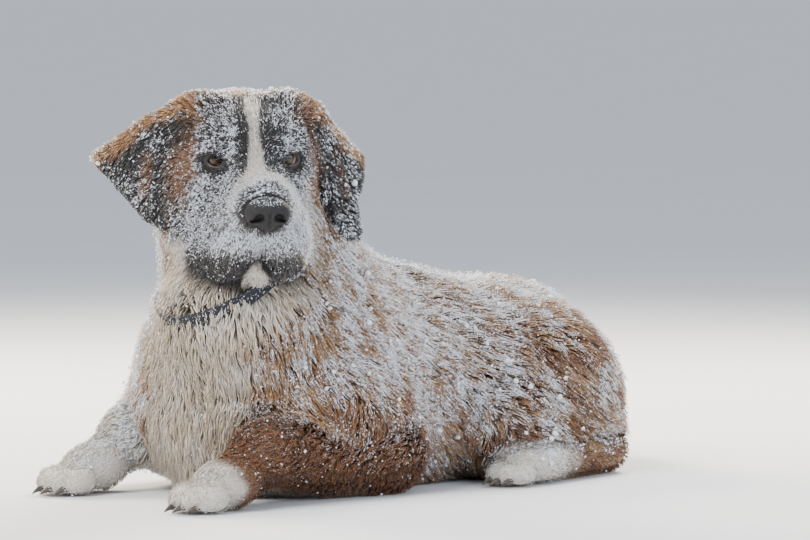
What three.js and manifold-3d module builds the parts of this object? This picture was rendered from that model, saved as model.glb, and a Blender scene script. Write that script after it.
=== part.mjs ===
// A young Saint Bernard lying down, life size, in millimetres. The dog faces -Y,
// its left side is +X, up is +Z, and its floor is z = 0.
import * as THREE from "three";
import { mergeVertices } from "three/addons/utils/BufferGeometryUtils.js";
import Module from "manifold-3d";

const wasm = await Module();
wasm.setup();

// ---- driving dimensions ----
const ORIGIN = [-40.4, -37.3];        // middle of the outline's box on the floor, in the table's frame
const GAP = 0.4;                 // clearance between neighbouring pieces
const SLIVER = 0.3;              // edges shorter than this are closed up after a cut
const COAT = 1;                  // 1 = outline at the tips of the coat
const TAIL_SKIRT = 9;            // how far the tail's piece reaches past its own core
const EYE_R = 13, EYE_AT = [41, 0, 1.5];       // eyeball, in the head's frame
const NOSE_CELL = 9, HEAD_CELL = 19.6, EAR_CELL = 14.6, NECK_CELL = 37, TRUNK_CELL = 38;
const FORE_CELL = 24, PAW_CELL = 17.2, HIND_CELL = 28, TAIL_CELL = 32, MOULD_CELL = 30;
const COLLAR_W = 20, COLLAR_T = 5, COLLAR_STEPS = 28;
const HIND_FOOT = [84, 58, 118];          // hind foot: how far back, how high and how far out its cuts lie
const CLAW_L = 17, CLAW_R = 4.2;

// ---- body table: bone-and-muscle masses with the coat's depth f over each ----
// E = ellipsoid (centre c, half axes r), C = round-ended cone (a to b, radii ra and rb),
// F = curved flap (outline poly in the plane e1, e2), k = width of the blend with what comes before.
const BODY = [
  { name: "trunk", k: 0, t: [0,0,0], rot: [0,0,0], sym: false, flip: false, same: null, prims: [
    { n: "ribcage", t: "E", c: [0,-70,112], r: [116,215,112], k: 0, f: 24 },
    { n: "forechest", t: "E", c: [-2,-228,122], r: [114,104,108], k: 50, f: 28 },
    { n: "shoulder_l", t: "E", c: [80,-165,112], r: [50,85,104], rot: [-12,-8,0], k: 45, f: 22 },
    { n: "shoulder_r", t: "E", c: [-100,-176,124], r: [48,85,112], rot: [-12,8,0], k: 45, f: 22 },
    { n: "withers", t: "C", a: [0,-140,232], b: [0,0,184], ra: 42, rb: 34, k: 60, f: 22 },
    { n: "loin", t: "E", c: [0,95,104], r: [98,160,102], k: 60, f: 22 },
    { n: "croup", t: "E", c: [0,188,118], r: [94,102,88], k: 50, f: 22 },
    { n: "sternum", t: "E", c: [0,-120,45], r: [95,170,42], k: 40, f: 16 },
  ] },
  { name: "neck", k: 60, t: [0,0,0], rot: [0,0,0], sym: false, flip: false, same: null, prims: [
    { n: "neck_core", t: "C", a: [-6,-180,195], b: [8,-238,300], ra: 94, rb: 84, k: 0, f: 24 },
    { n: "throat_ruff", t: "E", c: [48,-300,210], r: [66,56,52], rot: [0,0,50], k: 50, f: 22 },
  ] },
  { name: "head", k: 30, t: [86,-306,385], rot: [12,0,58], sym: true, flip: false, same: null, prims: [
    { n: "cranium", t: "E", c: [0,54,6], r: [66,80,53], k: 0, f: 8 },
    { n: "brow", t: "E", c: [27,15,28], r: [30,30,20], k: 25, f: 5 },
    { n: "tuft", t: "E", c: [50,46,42], r: [25,24,19], k: 16, f: 11 },
    { n: "cheek", t: "E", c: [50,44,-28], r: [30,52,44], k: 30, f: 6 },
    { n: "bridge", t: "C", a: [0,-8,-16], b: [0,-84,-20], ra: 22, rb: 18, k: 18, f: 4 },
    { n: "muzzle", t: "C", a: [0,0,-40], b: [0,-62,-46], ra: 43, rb: 36, k: 25, f: 5 },
    { n: "jowl", t: "E", c: [42,10,-90], r: [28,46,36], rot: [0,-8,0], k: 26, f: 8 },
    { n: "flew", t: "E", c: [29,-44,-80], r: [29,42,44], rot: [0,-6,0], k: 22, f: 6 },
    { n: "chin", t: "E", c: [0,-40,-112], r: [23,34,17], k: 5, f: 6 },
    { n: "jaw", t: "E", c: [0,10,-80], r: [46,60,36], k: 30, f: 12 },
    { n: "socket", t: "E", c: [41,-14,0], r: [17,13,12], rot: [0,0,-12], op: "-", k: 6, f: 0 },
  ] },
  { name: "nose", k: 4, t: [86,-306,385], rot: [12,0,58], sym: true, flip: false, same: null, prims: [
    { n: "nose_pad", t: "E", c: [0,-101,-33], r: [24,17.5,18], k: 0, f: 0 },
  ] },
  { name: "ear_r", k: 8, t: [86,-306,385], rot: [12,0,58], sym: false, flip: false, same: null, prims: [
    { n: "flap_r", t: "F", c: [-70,32,50], e1: [-0.85,0.53,0], e2: [0,0,-1], poly: [[5,0],[45,20],[108,72],[84,90],[44,128],[26,136],[12,116],[14,45]], bend: [-0.001,-0.0005,0], th: 1.5, round: 4.5, k: 0, f: 6 },
    { n: "burr_r", t: "E", c: [-72,40,32], r: [13,22,18], k: 18, f: 7 },
  ] },
  { name: "ear_l", k: 8, t: [86,-306,385], rot: [12,0,58], sym: false, flip: false, same: null, prims: [
    { n: "flap_l", t: "F", c: [70,32,50], e1: [0.8,0.6,0], e2: [0,0,-1], poly: [[10,6],[50,40],[84,70],[78,90],[58,112],[52,146],[38,144],[24,112],[16,62],[8,22]], bend: [0.0006,-0.0016,0], th: 1.5, round: 4.5, k: 0, f: 6 },
    { n: "burr_l", t: "E", c: [72,40,32], r: [13,22,18], k: 18, f: 7 },
  ] },
  { name: "foreleg_l", k: 30, t: [0,0,0], rot: [0,0,0], sym: false, flip: false, same: null, prims: [
    { n: "upper_arm", t: "C", a: [95,-190,95], b: [118,-130,48], ra: 48, rb: 38, k: 0, f: 14 },
    { n: "forearm", t: "C", a: [118,-130,42], b: [122,-312,56], ra: 37, rb: 28, k: 20, f: 8 },
    { n: "carpus", t: "E", c: [122,-325,58], r: [30,34,30], k: 20, f: 6 },
    { n: "paw", t: "E", c: [124,-378,29], r: [34,44,27], rot: [12,0,0], k: 22, f: 4 },
    { n: "toe1", t: "E", c: [100,-422,15.5], r: [12,21,15], rot: [12,0,12], k: 5, f: 3 },
    { n: "toe2", t: "E", c: [115,-434,15.5], r: [12,21,15], rot: [12,0,4.5], k: 5, f: 3 },
    { n: "toe3", t: "E", c: [133,-434,15.5], r: [12,21,15], rot: [12,0,-4.5], k: 5, f: 3 },
    { n: "toe4", t: "E", c: [148,-422,15.5], r: [12,21,15], rot: [12,0,-12], k: 5, f: 3 },
  ] },
  { name: "foreleg_r", k: 30, t: [0,0,0], rot: [0,0,0], sym: false, flip: false, same: null, prims: [
    { n: "upper_arm", t: "C", a: [-95,-190,95], b: [-118,-130,48], ra: 48, rb: 38, k: 0, f: 14 },
    { n: "forearm", t: "C", a: [-118,-130,42], b: [-122,-290,60], ra: 37, rb: 28, k: 20, f: 8 },
    { n: "carpus", t: "E", c: [-122,-303,62], r: [30,34,30], k: 20, f: 6 },
    { n: "paw", t: "E", c: [-124,-354,29], r: [34,44,27], rot: [14,0,0], k: 22, f: 4 },
    { n: "toe1", t: "E", c: [-148,-398,15.5], r: [12,21,15], rot: [12,0,12], k: 5, f: 3 },
    { n: "toe2", t: "E", c: [-133,-410,15.5], r: [12,21,15], rot: [12,0,4.5], k: 5, f: 3 },
    { n: "toe3", t: "E", c: [-115,-410,15.5], r: [12,21,15], rot: [12,0,-4.5], k: 5, f: 3 },
    { n: "toe4", t: "E", c: [-100,-398,15.5], r: [12,21,15], rot: [12,0,-12], k: 5, f: 3 },
  ] },
  { name: "hindleg_l", k: 30, t: [0,0,0], rot: [0,0,0], sym: false, flip: false, same: null, prims: [
    { n: "thigh", t: "E", c: [88,168,90], r: [54,106,90], rot: [-10,0,0], k: 0, f: 20 },
    { n: "stifle", t: "E", c: [122,80,58], r: [40,50,50], k: 40, f: 14 },
    { n: "shin", t: "C", a: [134,80,38], b: [120,222,34], ra: 34, rb: 26, k: 25, f: 10 },
    { n: "hock", t: "C", a: [140,226,26], b: [164,98,26], ra: 20, rb: 22, k: 15, f: 6 },
    { n: "hindpaw", t: "E", c: [168,66,23], r: [29,40,22], k: 20, f: 4 },
    { n: "toe1", t: "E", c: [147.6,28.5,14], r: [10.5,18.375,13.125], rot: [12,0,12], k: 5, f: 3 },
    { n: "toe2", t: "E", c: [160.3,18.300000000000004,14], r: [10.5,18.375,13.125], rot: [12,0,4.5], k: 5, f: 3 },
    { n: "toe3", t: "E", c: [175.7,18.300000000000004,14], r: [10.5,18.375,13.125], rot: [12,0,-4.5], k: 5, f: 3 },
    { n: "toe4", t: "E", c: [188.4,28.5,14], r: [10.5,18.375,13.125], rot: [12,0,-12], k: 5, f: 3 },
  ] },
  { name: "hindleg_r", k: 30, t: [0,0,0], rot: [0,0,0], sym: false, flip: true, same: "hindleg_l", prims: [
  ] },
  { name: "tail", k: 30, t: [0,0,0], rot: [0,0,0], sym: false, flip: false, same: null, prims: [
    { n: "tail1", t: "C", a: [0,275,100], b: [-28,330,48], ra: 30, rb: 26, k: 0, f: 16 },
    { n: "tail2", t: "C", a: [-28,330,46], b: [-120,348,26], ra: 26, rb: 24, k: 20, f: 18 },
    { n: "tail3", t: "C", a: [-120,348,26], b: [-205,305,24], ra: 24, rb: 20, k: 20, f: 20 },
    { n: "tail4", t: "C", a: [-205,305,24], b: [-258,225,20], ra: 20, rb: 10, k: 20, f: 18 },
  ] },
];

// ---- small vector helpers ----
const rad = Math.PI / 180;
function axes([rx, ry, rz]) {
  const e = new THREE.Euler(rx * rad, ry * rad, rz * rad, "ZYX");
  const m = new THREE.Matrix4().makeRotationFromEuler(e).elements;
  return [[m[0], m[1], m[2]], [m[4], m[5], m[6]], [m[8], m[9], m[10]]];
}
const dot = (a, b) => a[0] * b[0] + a[1] * b[1] + a[2] * b[2];
const unit = (a) => { const l = Math.hypot(...a); return a.map((v) => v / l); };
const cross = (a, b) => [a[1] * b[2] - a[2] * b[1], a[2] * b[0] - a[0] * b[2], a[0] * b[1] - a[1] * b[0]];
const sub = (a, b) => [a[0] - b[0], a[1] - b[1], a[2] - b[2]];
const into = (p, c, A) => { const q = sub(p, c); return [dot(q, A[0]), dot(q, A[1]), dot(q, A[2])]; };
const outOf = (q, c, A) => [0, 1, 2].map((i) => c[i] + q[0] * A[0][i] + q[1] * A[1][i] + q[2] * A[2][i]);

for (const g of BODY) {
  g.A = axes(g.rot);
  if (g.same) g.prims = BODY.find((o) => o.name === g.same).prims;
  for (const p of g.prims) {
    p.A = axes(p.rot || [0, 0, 0]);
    if (p.t === "F") {
      const e1 = unit(p.e1), d = dot(e1, p.e2), e2 = unit(p.e2.map((v, i) => v - e1[i] * d));
      p.A = [e1, e2, cross(e1, e2)];
    }
  }
}

// ---- distance to each kind of mass ----
function ellipsoid(P, p) {
  const q = into(P, p.c, p.A), r = p.r;
  const k0 = Math.hypot(q[0] / r[0], q[1] / r[1], q[2] / r[2]);
  const k1 = Math.hypot(q[0] / r[0] ** 2, q[1] / r[1] ** 2, q[2] / r[2] ** 2) + 1e-9;
  return k0 * (k0 - 1) / k1;
}
function roundCone(P, p) {
  const ba = sub(p.b, p.a), l2 = dot(ba, ba), rr = p.ra - p.rb, a2 = Math.max(l2 - rr * rr, 1e-6), il2 = 1 / l2;
  const pa = sub(P, p.a), y = dot(pa, ba), z = y - l2;
  const x = [0, 1, 2].map((i) => pa[i] * l2 - ba[i] * y), x2 = dot(x, x), y2 = y * y * l2, z2 = z * z * l2;
  const k = Math.sign(rr) * rr * rr * x2;
  if (Math.sign(z) * a2 * z2 > k) return Math.sqrt(x2 + z2) * il2 - p.rb;
  if (Math.sign(y) * a2 * y2 < k) return Math.sqrt(x2 + y2) * il2 - p.ra;
  return (Math.sqrt(x2 * a2 * il2) + y * rr) * il2 - p.ra;
}
function flap(P, p) {
  const q = into(P, p.c, p.A), [x, y] = q, V = p.poly, n = V.length;
  const z = q[2] - (p.bend[0] * x * x + p.bend[1] * y * y + p.bend[2] * x * y);
  let d = (x - V[0][0]) ** 2 + (y - V[0][1]) ** 2, s = 1;
  for (let i = 0, j = n - 1; i < n; j = i, i++) {
    const ex = V[j][0] - V[i][0], ey = V[j][1] - V[i][1], wx = x - V[i][0], wy = y - V[i][1];
    const t = Math.min(Math.max((wx * ex + wy * ey) / (ex * ex + ey * ey), 0), 1);
    d = Math.min(d, (wx - ex * t) ** 2 + (wy - ey * t) ** 2);
    const c1 = y >= V[i][1], c2 = y < V[j][1], c3 = ex * wy > ey * wx;
    if ((c1 && c2 && c3) || (!c1 && !c2 && !c3)) s = -s;
  }
  const d2 = s * Math.sqrt(d), w = Math.abs(z) - p.th;
  return Math.min(Math.max(d2, w), 0) + Math.hypot(Math.max(d2, 0), Math.max(w, 0)) - p.round;
}
const KIND = { E: ellipsoid, C: roundCone, F: flap };
function smin(a, b, k) {
  if (k <= 0) return Math.min(a, b);
  const h = Math.max(k - Math.abs(a - b), 0) / k;
  return Math.min(a, b) - h * h * k * 0.25;
}
function groupDistance(g, P) {
  const q = into(P, g.t, g.A);
  if (g.flip) q[0] = -q[0];
  if (g.sym) q[0] = Math.abs(q[0]);
  let d = null;
  for (const p of g.prims) {
    const di = KIND[p.t](q, p) - p.f * COAT;
    if (p.op === "-") continue;      // the eye sockets are cut later
    d = d === null ? di : smin(d, di, p.k);
  }
  return d;
}
const group = (name) => BODY.find((g) => g.name === name);
function bodyDistance(P, skip) {
  let d = null;
  for (const g of BODY) {
    if (skip.includes(g.name)) continue;
    const dg = groupDistance(g, P);
    d = d === null ? dg : smin(d, dg, g.k);
  }
  return d;
}

// ---- a closed faceted surface where field = 0: one point in each cell that the surface crosses ----
function surface(field, lo, hi, cell) {
  const n = [0, 1, 2].map((i) => Math.ceil((hi[i] - lo[i]) / cell) + 3);
  const o = lo.map((v) => v - cell * 1.013);
  const at = (i, j, k) => (k * n[1] + j) * n[0] + i;
  const F = new Float64Array(n[0] * n[1] * n[2]);
  for (let k = 0; k < n[2]; k++) for (let j = 0; j < n[1]; j++) for (let i = 0; i < n[0]; i++) {
    const P = [o[0] + i * cell, o[1] + j * cell, o[2] + k * cell];
    const box = Math.max(lo[0] - P[0], P[0] - hi[0], lo[1] - P[1], P[1] - hi[1], lo[2] - P[2], P[2] - hi[2]);
    const f = Math.max(field(P), box);
    F[at(i, j, k)] = Math.abs(f) < 1e-4 ? 1e-4 : f;
  }
  const id = new Map(), pos = [], idx = [];
  const D = [[1, 0, 0], [0, 1, 0], [0, 0, 1]];
  for (let k = 0; k < n[2] - 1; k++) for (let j = 0; j < n[1] - 1; j++) for (let i = 0; i < n[0] - 1; i++) {
    let m = 0; const s = [0, 0, 0];
    for (let c = 0; c < 8; c++) {
      const a = [c & 1, (c >> 1) & 1, c >> 2];
      for (let ax = 0; ax < 3; ax++) {
        if (a[ax]) continue;
        const fa = F[at(i + a[0], j + a[1], k + a[2])];
        const fb = F[at(i + a[0] + D[ax][0], j + a[1] + D[ax][1], k + a[2] + D[ax][2])];
        if ((fa < 0) === (fb < 0)) continue;
        const t = fa / (fa - fb);
        for (let x = 0; x < 3; x++) s[x] += a[x] + D[ax][x] * t;
        m++;
      }
    }
    if (!m) continue;
    id.set(at(i, j, k), pos.length / 3);
    pos.push(o[0] + (i + s[0] / m) * cell, o[1] + (j + s[1] / m) * cell, o[2] + (k + s[2] / m) * cell);
  }
  for (let k = 1; k < n[2] - 1; k++) for (let j = 1; j < n[1] - 1; j++) for (let i = 1; i < n[0] - 1; i++) {
    for (let ax = 0; ax < 3; ax++) {
      const u = D[(ax + 1) % 3], w = D[(ax + 2) % 3];
      const A = F[at(i, j, k)] < 0, B = F[at(i + D[ax][0], j + D[ax][1], k + D[ax][2])] < 0;
      if (A === B) continue;
      const v = [[1, 1], [0, 1], [0, 0], [1, 0]].map(([a, b]) =>
        id.get(at(i - a * u[0] - b * w[0], j - a * u[1] - b * w[1], k - a * u[2] - b * w[2])));
      if (!A) v.reverse();
      const q = v.map((t) => [pos[t * 3], pos[t * 3 + 1], pos[t * 3 + 2]]);
      const l1 = Math.hypot(...sub(q[0], q[2])), l2 = Math.hypot(...sub(q[1], q[3]));
      if (l1 <= l2) idx.push(v[0], v[1], v[2], v[0], v[2], v[3]);
      else idx.push(v[0], v[1], v[3], v[1], v[2], v[3]);
    }
  }
  const geo = new THREE.BufferGeometry();
  geo.setAttribute("position", new THREE.Float32BufferAttribute(pos, 3));
  geo.setIndex(idx);
  return geo;
}

// ---- solids and cuts ----
function solid(geo) {
  let g = geo.clone();
  g.deleteAttribute("normal"); g.deleteAttribute("uv");
  g = mergeVertices(g, 1e-4);
  return new wasm.Manifold(new wasm.Mesh({
    numProp: 3,
    vertProperties: new Float32Array(g.attributes.position.array),
    triVerts: new Uint32Array(g.index.array),
  }));
}
// the same surface, moved outward along its own normals: the mould a neighbour is cut with
function grown(geo, by) {
  const g = geo.clone();
  g.computeVertexNormals();
  const p = g.attributes.position, m = g.attributes.normal;
  for (let i = 0; i < p.count; i++)
    p.setXYZ(i, p.getX(i) + m.getX(i) * by, p.getY(i) + m.getY(i) * by, p.getZ(i) + m.getZ(i) * by);
  return g;
}
function slab(lo, hi, frame) {
  const g = new THREE.BoxGeometry(hi[0] - lo[0], hi[1] - lo[1], hi[2] - lo[2]);
  g.translate((hi[0] + lo[0]) / 2, (hi[1] + lo[1]) / 2, (hi[2] + lo[2]) / 2);
  if (frame) g.applyMatrix4(new THREE.Matrix4().makeBasis(...frame.A.map((v) => new THREE.Vector3(...v))).setPosition(...frame.t));
  return solid(g);
}
// half space n . P > c, as a large block
function beyond(n, c, by = 0) {
  const u = unit(n), a = unit(cross(u, Math.abs(u[0]) < 0.9 ? [1, 0, 0] : [0, 1, 0])), b = cross(u, a);
  const t = u.map((v) => v * (c + by));
  return slab([-1500, -1500, 0], [1500, 1500, 1500], { A: [a, b, u], t });
}
function biggest(m) {
  const parts = m.decompose().sort((x, y) => y.volume() - x.volume());
  return parts[0];
}

// ---- surfaces of the masses ----
const HEAD = group("head");
const NOTHING = [];
const whole = (skip) => (P) => bodyDistance(P, skip);
const only = (names, by = 0) => (P) => Math.min(...names.map((n) => groupDistance(group(n), P))) - by;
const LOOSE = ["ear_l", "ear_r", "nose"];

const noseG = surface(only(["nose"]), [70, -420, 280], [230, -290, 390], NOSE_CELL);
const earRG = surface(only(["ear_r"]), [-140, -420, 200], [100, -220, 460], EAR_CELL);
const earLG = surface(only(["ear_l"]), [60, -310, 200], [260, -100, 460], EAR_CELL);
const tailG = surface(only(["tail"], TAIL_SKIRT), [-330, 170, -60], [70, 430, 190], MOULD_CELL * 0.85);

const nose = solid(noseG);
const mould = (geo) => solid(grown(geo, GAP));
const FLOOR = slab([-1500, -1500, -1500], [1500, 1500, 0]);

// ---- planes that part the body ----
// head from neck: behind the skull and under the jaw; n in the head's frame
const hn = unit([0, 0.76, -0.65]), HEAD_CUT = 78;
const headN = outOf(hn, [0, 0, 0], HEAD.A), headC = HEAD_CUT + dot(headN, HEAD.t);
const pastHead = (by) => beyond(headN, headC, by);
// neck from trunk: top of the withers to the front of the chest
const neckN = unit([0, -140, 220]), neckC = dot(neckN, [0, -120, 270]);
const pastTrunk = (by) => beyond(neckN, neckC, by);
// legs from trunk: the inner side, the slanting top and the front or back of each leg's block
const HIND = [[[1, 0, 0], [36, 0, 0]], [[0.75, 0, -0.66], [60, 0, 190]], [[0, 1, -0.55], [0, -30, 0]]];
const FORE = [[[1, 0.09, 0], [46, -62, 0]], [[0.62, 0, -0.78], [100, 0, 137]], [[0, -1, -0.2], [0, -62, 0]]];
function block(planes, side, by) {
  return planes.map(([n, p]) => {
    const m = unit([n[0] * side, n[1], n[2]]);
    return beyond(m, dot(m, [p[0] * side, p[1], p[2]]), by);
  }).reduce((a, b) => a.intersect(b));
}
// paws from forearms, at the wrist; n points to the toes
const wristN = unit([0, -0.83, -0.56]);
const WRIST = { l: [122, -338, 60], r: [-122, -314, 62] };

// ---- eyes and collar ----
const eyes = {};
for (const [side, s] of [["l", 1], ["r", -1]]) {
  const at = outOf([EYE_AT[0] * s, EYE_AT[1], EYE_AT[2]], HEAD.t, HEAD.A);
  const ball = (r) => { const b = new THREE.IcosahedronGeometry(r, 1); b.translate(...at); return b; };
  const lids = group("head").prims.find((p) => p.n === "socket");
  const cup = new THREE.SphereGeometry(1, 12, 8);
  cup.applyMatrix4(new THREE.Matrix4().makeBasis(...lids.A.map((v, i) => new THREE.Vector3(...v).multiplyScalar(lids.r[i]))).setPosition(...lids.c));
  if (s < 0) { const q = cup.attributes.position; for (let i = 0; i < q.count; i++) q.setX(i, -q.getX(i)); cup.index.array.reverse(); }
  cup.applyMatrix4(new THREE.Matrix4().makeBasis(...HEAD.A.map((v) => new THREE.Vector3(...v))).setPosition(...HEAD.t));
  eyes[side] = { geo: ball(EYE_R), hole: solid(ball(EYE_R + GAP)), cup: solid(cup) };
}
const COLLAR_C = [6, -238, 277], COLLAR_N = unit([-0.05, -0.48, 0.87]);
const collarX = unit(cross([0, 1, 0], COLLAR_N)), collarY = cross(COLLAR_N, collarX);
function collar(grow) {
  const ring = [];
  const w = COLLAR_W / 2 + grow, t = COLLAR_T / 2 + grow;
  const pos = [], idx = [];
  for (let i = 0; i < COLLAR_STEPS; i++) {
    const a = (i / COLLAR_STEPS) * 2 * Math.PI;
    const d = collarX.map((v, j) => v * Math.cos(a) + collarY[j] * Math.sin(a));
    let lo = 40, hi = 240;
    for (let s = 0; s < 26; s++) {
      const r = (lo + hi) / 2;
      if (bodyDistance(COLLAR_C.map((v, j) => v + d[j] * r), [...LOOSE, "head"]) < 0) lo = r; else hi = r;
    }
    ring.push({ d, r: lo - collarDepth(a) });
  }
  ring.forEach(({ d, r }) => {
    for (const [u, v] of [[-w, -t], [w, -t], [w, t], [-w, t]])
      pos.push(...COLLAR_C.map((c, j) => c + d[j] * (r + v) + COLLAR_N[j] * u));
  });
  for (let i = 0; i < COLLAR_STEPS; i++) {
    const n = ((i + 1) % COLLAR_STEPS) * 4, m = i * 4;
    for (let c = 0; c < 4; c++) {
      const c2 = (c + 1) % 4;
      idx.push(m + c, m + c2, n + c2, m + c, n + c2, n + c);
    }
  }
  const g = new THREE.BufferGeometry();
  g.setAttribute("position", new THREE.Float32BufferAttribute(pos, 3));
  g.setIndex(idx);
  return g;
}
// sunk in the ruff at the back and sides, nearly clear of it under the throat
function collarDepth(a) {
  const front = 0.5 - 0.5 * Math.sin(a - 0.4);
  return 14 - 11.5 * front ** 8;
}

// ---- claws: four on each foot, curved cones from the toe tips ----
const claws = [];
function clawGeo(at, yaw, grow) {
  const rows = 3, sides = 5, pos = [], idx = [];
  const A = axes([0, 0, yaw]);
  for (let i = 0; i < rows; i++) {
    const u = i / rows, r = (CLAW_R + grow) * (1 - 0.62 * u), y = -u * CLAW_L + (i ? 0 : grow), z = -5.5 * u * u;
    for (let s = 0; s < sides; s++) {
      const a = (s / sides) * 2 * Math.PI;
      pos.push(...outOf([r * 0.72 * Math.cos(a), y, z + r * Math.sin(a)], at, A));
    }
  }
  const tip = pos.length / 3; pos.push(...outOf([0, -CLAW_L - grow, -6.2], at, A));
  const root = pos.length / 3; pos.push(...outOf([0, grow, 0], at, A));
  for (let i = 0; i < rows - 1; i++) for (let s = 0; s < sides; s++) {
    const a = i * sides + s, b = i * sides + (s + 1) % sides;
    idx.push(a, a + sides, b, b, a + sides, b + sides);
  }
  for (let s = 0; s < sides; s++) {
    const b = (s + 1) % sides;
    idx.push((rows - 1) * sides + s, tip, (rows - 1) * sides + b, s, b, root);
  }
  const g = new THREE.BufferGeometry();
  g.setAttribute("position", new THREE.Float32BufferAttribute(pos, 3));
  g.setIndex(idx.reverse());
  return g;
}
for (const [foot, leg] of [["forepaw_l", "foreleg_l"], ["forepaw_r", "foreleg_r"], ["hindleg_l", "hindleg_l"], ["hindleg_r", "hindleg_r"]]) {
  const toes = group(leg).prims.filter((p) => p.n.startsWith("toe")), flip = group(leg).flip ? -1 : 1;
  toes.forEach((p, i) => {
    const yaw = p.rot[2] * flip, tip = outOf([0, -p.r[1] - p.f + 7, -2.5], p.c, p.A);
    const at = [tip[0] * flip, tip[1], Math.max(tip[2], 9.5)];
    claws.push({ foot, name: `claw_${foot.replace("paw", "").replace("leg", "")}_${i + 1}`, geo: clawGeo(at, yaw, 0), hole: solid(clawGeo(at, yaw, GAP)) });
  });
}
const clawHoles = (m, foot) => claws.filter((c) => c.foot === foot).reduce((s, c) => s.subtract(c.hole), m);

// ---- pieces ----
const collarRing = collar(0), collarMould = solid(collar(GAP));
const tailMould = mould(tailG);
const earMoulds = [mould(earRG), mould(earLG)];
const earR = solid(earRG).subtract(collarMould), earL = solid(earLG).subtract(collarMould);
const cutAll = (m, list) => list.reduce((s, c) => s.subtract(c), m);
const bulk = (cell, lo, hi) => solid(surface(whole(LOOSE), lo, hi, cell));

let head = bulk(HEAD_CELL, [-40, -440, 235], [240, -170, 480]);
head = cutAll(head.subtract(pastHead(-GAP / 2)), [...earMoulds, collarMould, mould(noseG), eyes.l.cup, eyes.r.cup, eyes.l.hole, eyes.r.hole]);

let neck = bulk(NECK_CELL, [-190, -440, 90], [230, 20, 470]);
neck = neck.intersect(pastHead(GAP / 2)).intersect(pastTrunk(GAP / 2));
neck = cutAll(neck, [...earMoulds, collarMould]);

const BLOCKS = [[FORE, 1], [FORE, -1], [HIND, 1], [HIND, -1]];
let trunk = bulk(TRUNK_CELL, [-230, -450, -60], [230, 380, 380]);
trunk = cutAll(trunk.subtract(pastTrunk(-GAP / 2)), [collarMould, ...BLOCKS.map(([p, s]) => block(p, s, -GAP)), tailMould, FLOOR]);

const leg = (planes, side, cell, lo, hi) => bulk(cell, lo, hi).intersect(block(planes, side, 0)).subtract(FLOOR);
const wristPlane = (s, by) => beyond(wristN, dot(wristN, WRIST[s]), by);
const armL = leg(FORE, 1, FORE_CELL, [30, -520, -60], [230, -40, 260]).subtract(pastTrunk(-GAP / 2)).subtract(wristPlane("l", -GAP / 2));
const armR = leg(FORE, -1, FORE_CELL, [-230, -500, -60], [-30, -40, 260]).subtract(pastTrunk(-GAP / 2)).subtract(wristPlane("r", -GAP / 2));
const pawL = leg(FORE, 1, PAW_CELL, [62, -480, -40], [190, -290, 130]).intersect(wristPlane("l", GAP / 2));
const pawR = leg(FORE, -1, PAW_CELL, [-190, -460, -40], [-62, -270, 130]).intersect(wristPlane("r", GAP / 2));
// each hind foot is a body of its own, cut off the thigh by two planes
const footCut = (side, grow) => beyond([0, -1, 0], -HIND_FOOT[0], grow).intersect(beyond([0, 0, -1], -HIND_FOOT[1], grow)).intersect(beyond([side, 0, 0], HIND_FOOT[2], grow));
const thigh = (side) => leg(HIND, side, HIND_CELL, side > 0 ? [10, -60, -60] : [-250, -60, -60], side > 0 ? [250, 350, 260] : [-10, 350, 260])
  .subtract(footCut(side, -GAP)).subtract(tailMould);
const thighL = thigh(1), thighR = thigh(-1);
const foot = (side) => leg(HIND, side, PAW_CELL, side > 0 ? [96, -40, -40] : [-230, -40, -40], side > 0 ? [230, 120, 110] : [-96, 120, 110]).intersect(footCut(side, 0));
const tail = bulk(TAIL_CELL, [-330, 170, -60], [70, 430, 190]).intersect(solid(tailG)).subtract(FLOOR);

// ---- a cut solid's mesh with its slivers closed up: edges shorter than SLIVER collapse to a point ----
function tidy(m) {
  const p = [], tris = [], round = [];
  for (let i = 0; i < m.numVert; i++) { p.push([0, 1, 2].map((j) => m.vertProperties[i * m.numProp + j])); round.push(new Set()); }
  for (let t = 0; t < m.triVerts.length; t += 3) {
    const v = [m.triVerts[t], m.triVerts[t + 1], m.triVerts[t + 2]];
    v.forEach((a) => round[a].add(tris.length));
    tris.push(v);
  }
  const ring = (a) => { const s = new Set(); for (const t of round[a]) for (const v of tris[t]) if (v !== a) s.add(v); return s; };
  for (let pass = 0; pass < 6; pass++) {
    const edges = [];
    tris.forEach((v) => v && v.forEach((a, e) => {
      const b = v[(e + 1) % 3], l = Math.hypot(...sub(p[a], p[b]));
      if (a < b && l < SLIVER) edges.push([l, a, b]);
    }));
    if (!edges.length) break;
    edges.sort((x, y) => x[0] - y[0]);
    for (const [, a, b] of edges) {
      if (!round[a].size || !round[b].size) continue;
      const A = ring(a), B = ring(b);
      if (!A.has(b)) continue;
      // only two neighbours in common, so that the surface stays one sheet
      if ([...A].filter((v) => B.has(v)).length !== 2) continue;
      for (const t of [...round[b]]) {
        if (tris[t].includes(a)) { for (const v of tris[t]) round[v].delete(t); tris[t] = null; }
        else { tris[t] = tris[t].map((v) => (v === b ? a : v)); round[a].add(t); }
      }
      round[b].clear();
    }
  }
  const names = new Map(), pos = [], out = [];
  for (const v of tris) if (v) for (const a of v) {
    if (!names.has(a)) { names.set(a, pos.length / 3); pos.push(...p[a]); }
    out.push(names.get(a));
  }
  const g = new THREE.BufferGeometry();
  g.setAttribute("position", new THREE.Float32BufferAttribute(pos, 3));
  g.setIndex(out);
  return g;
}

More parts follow.
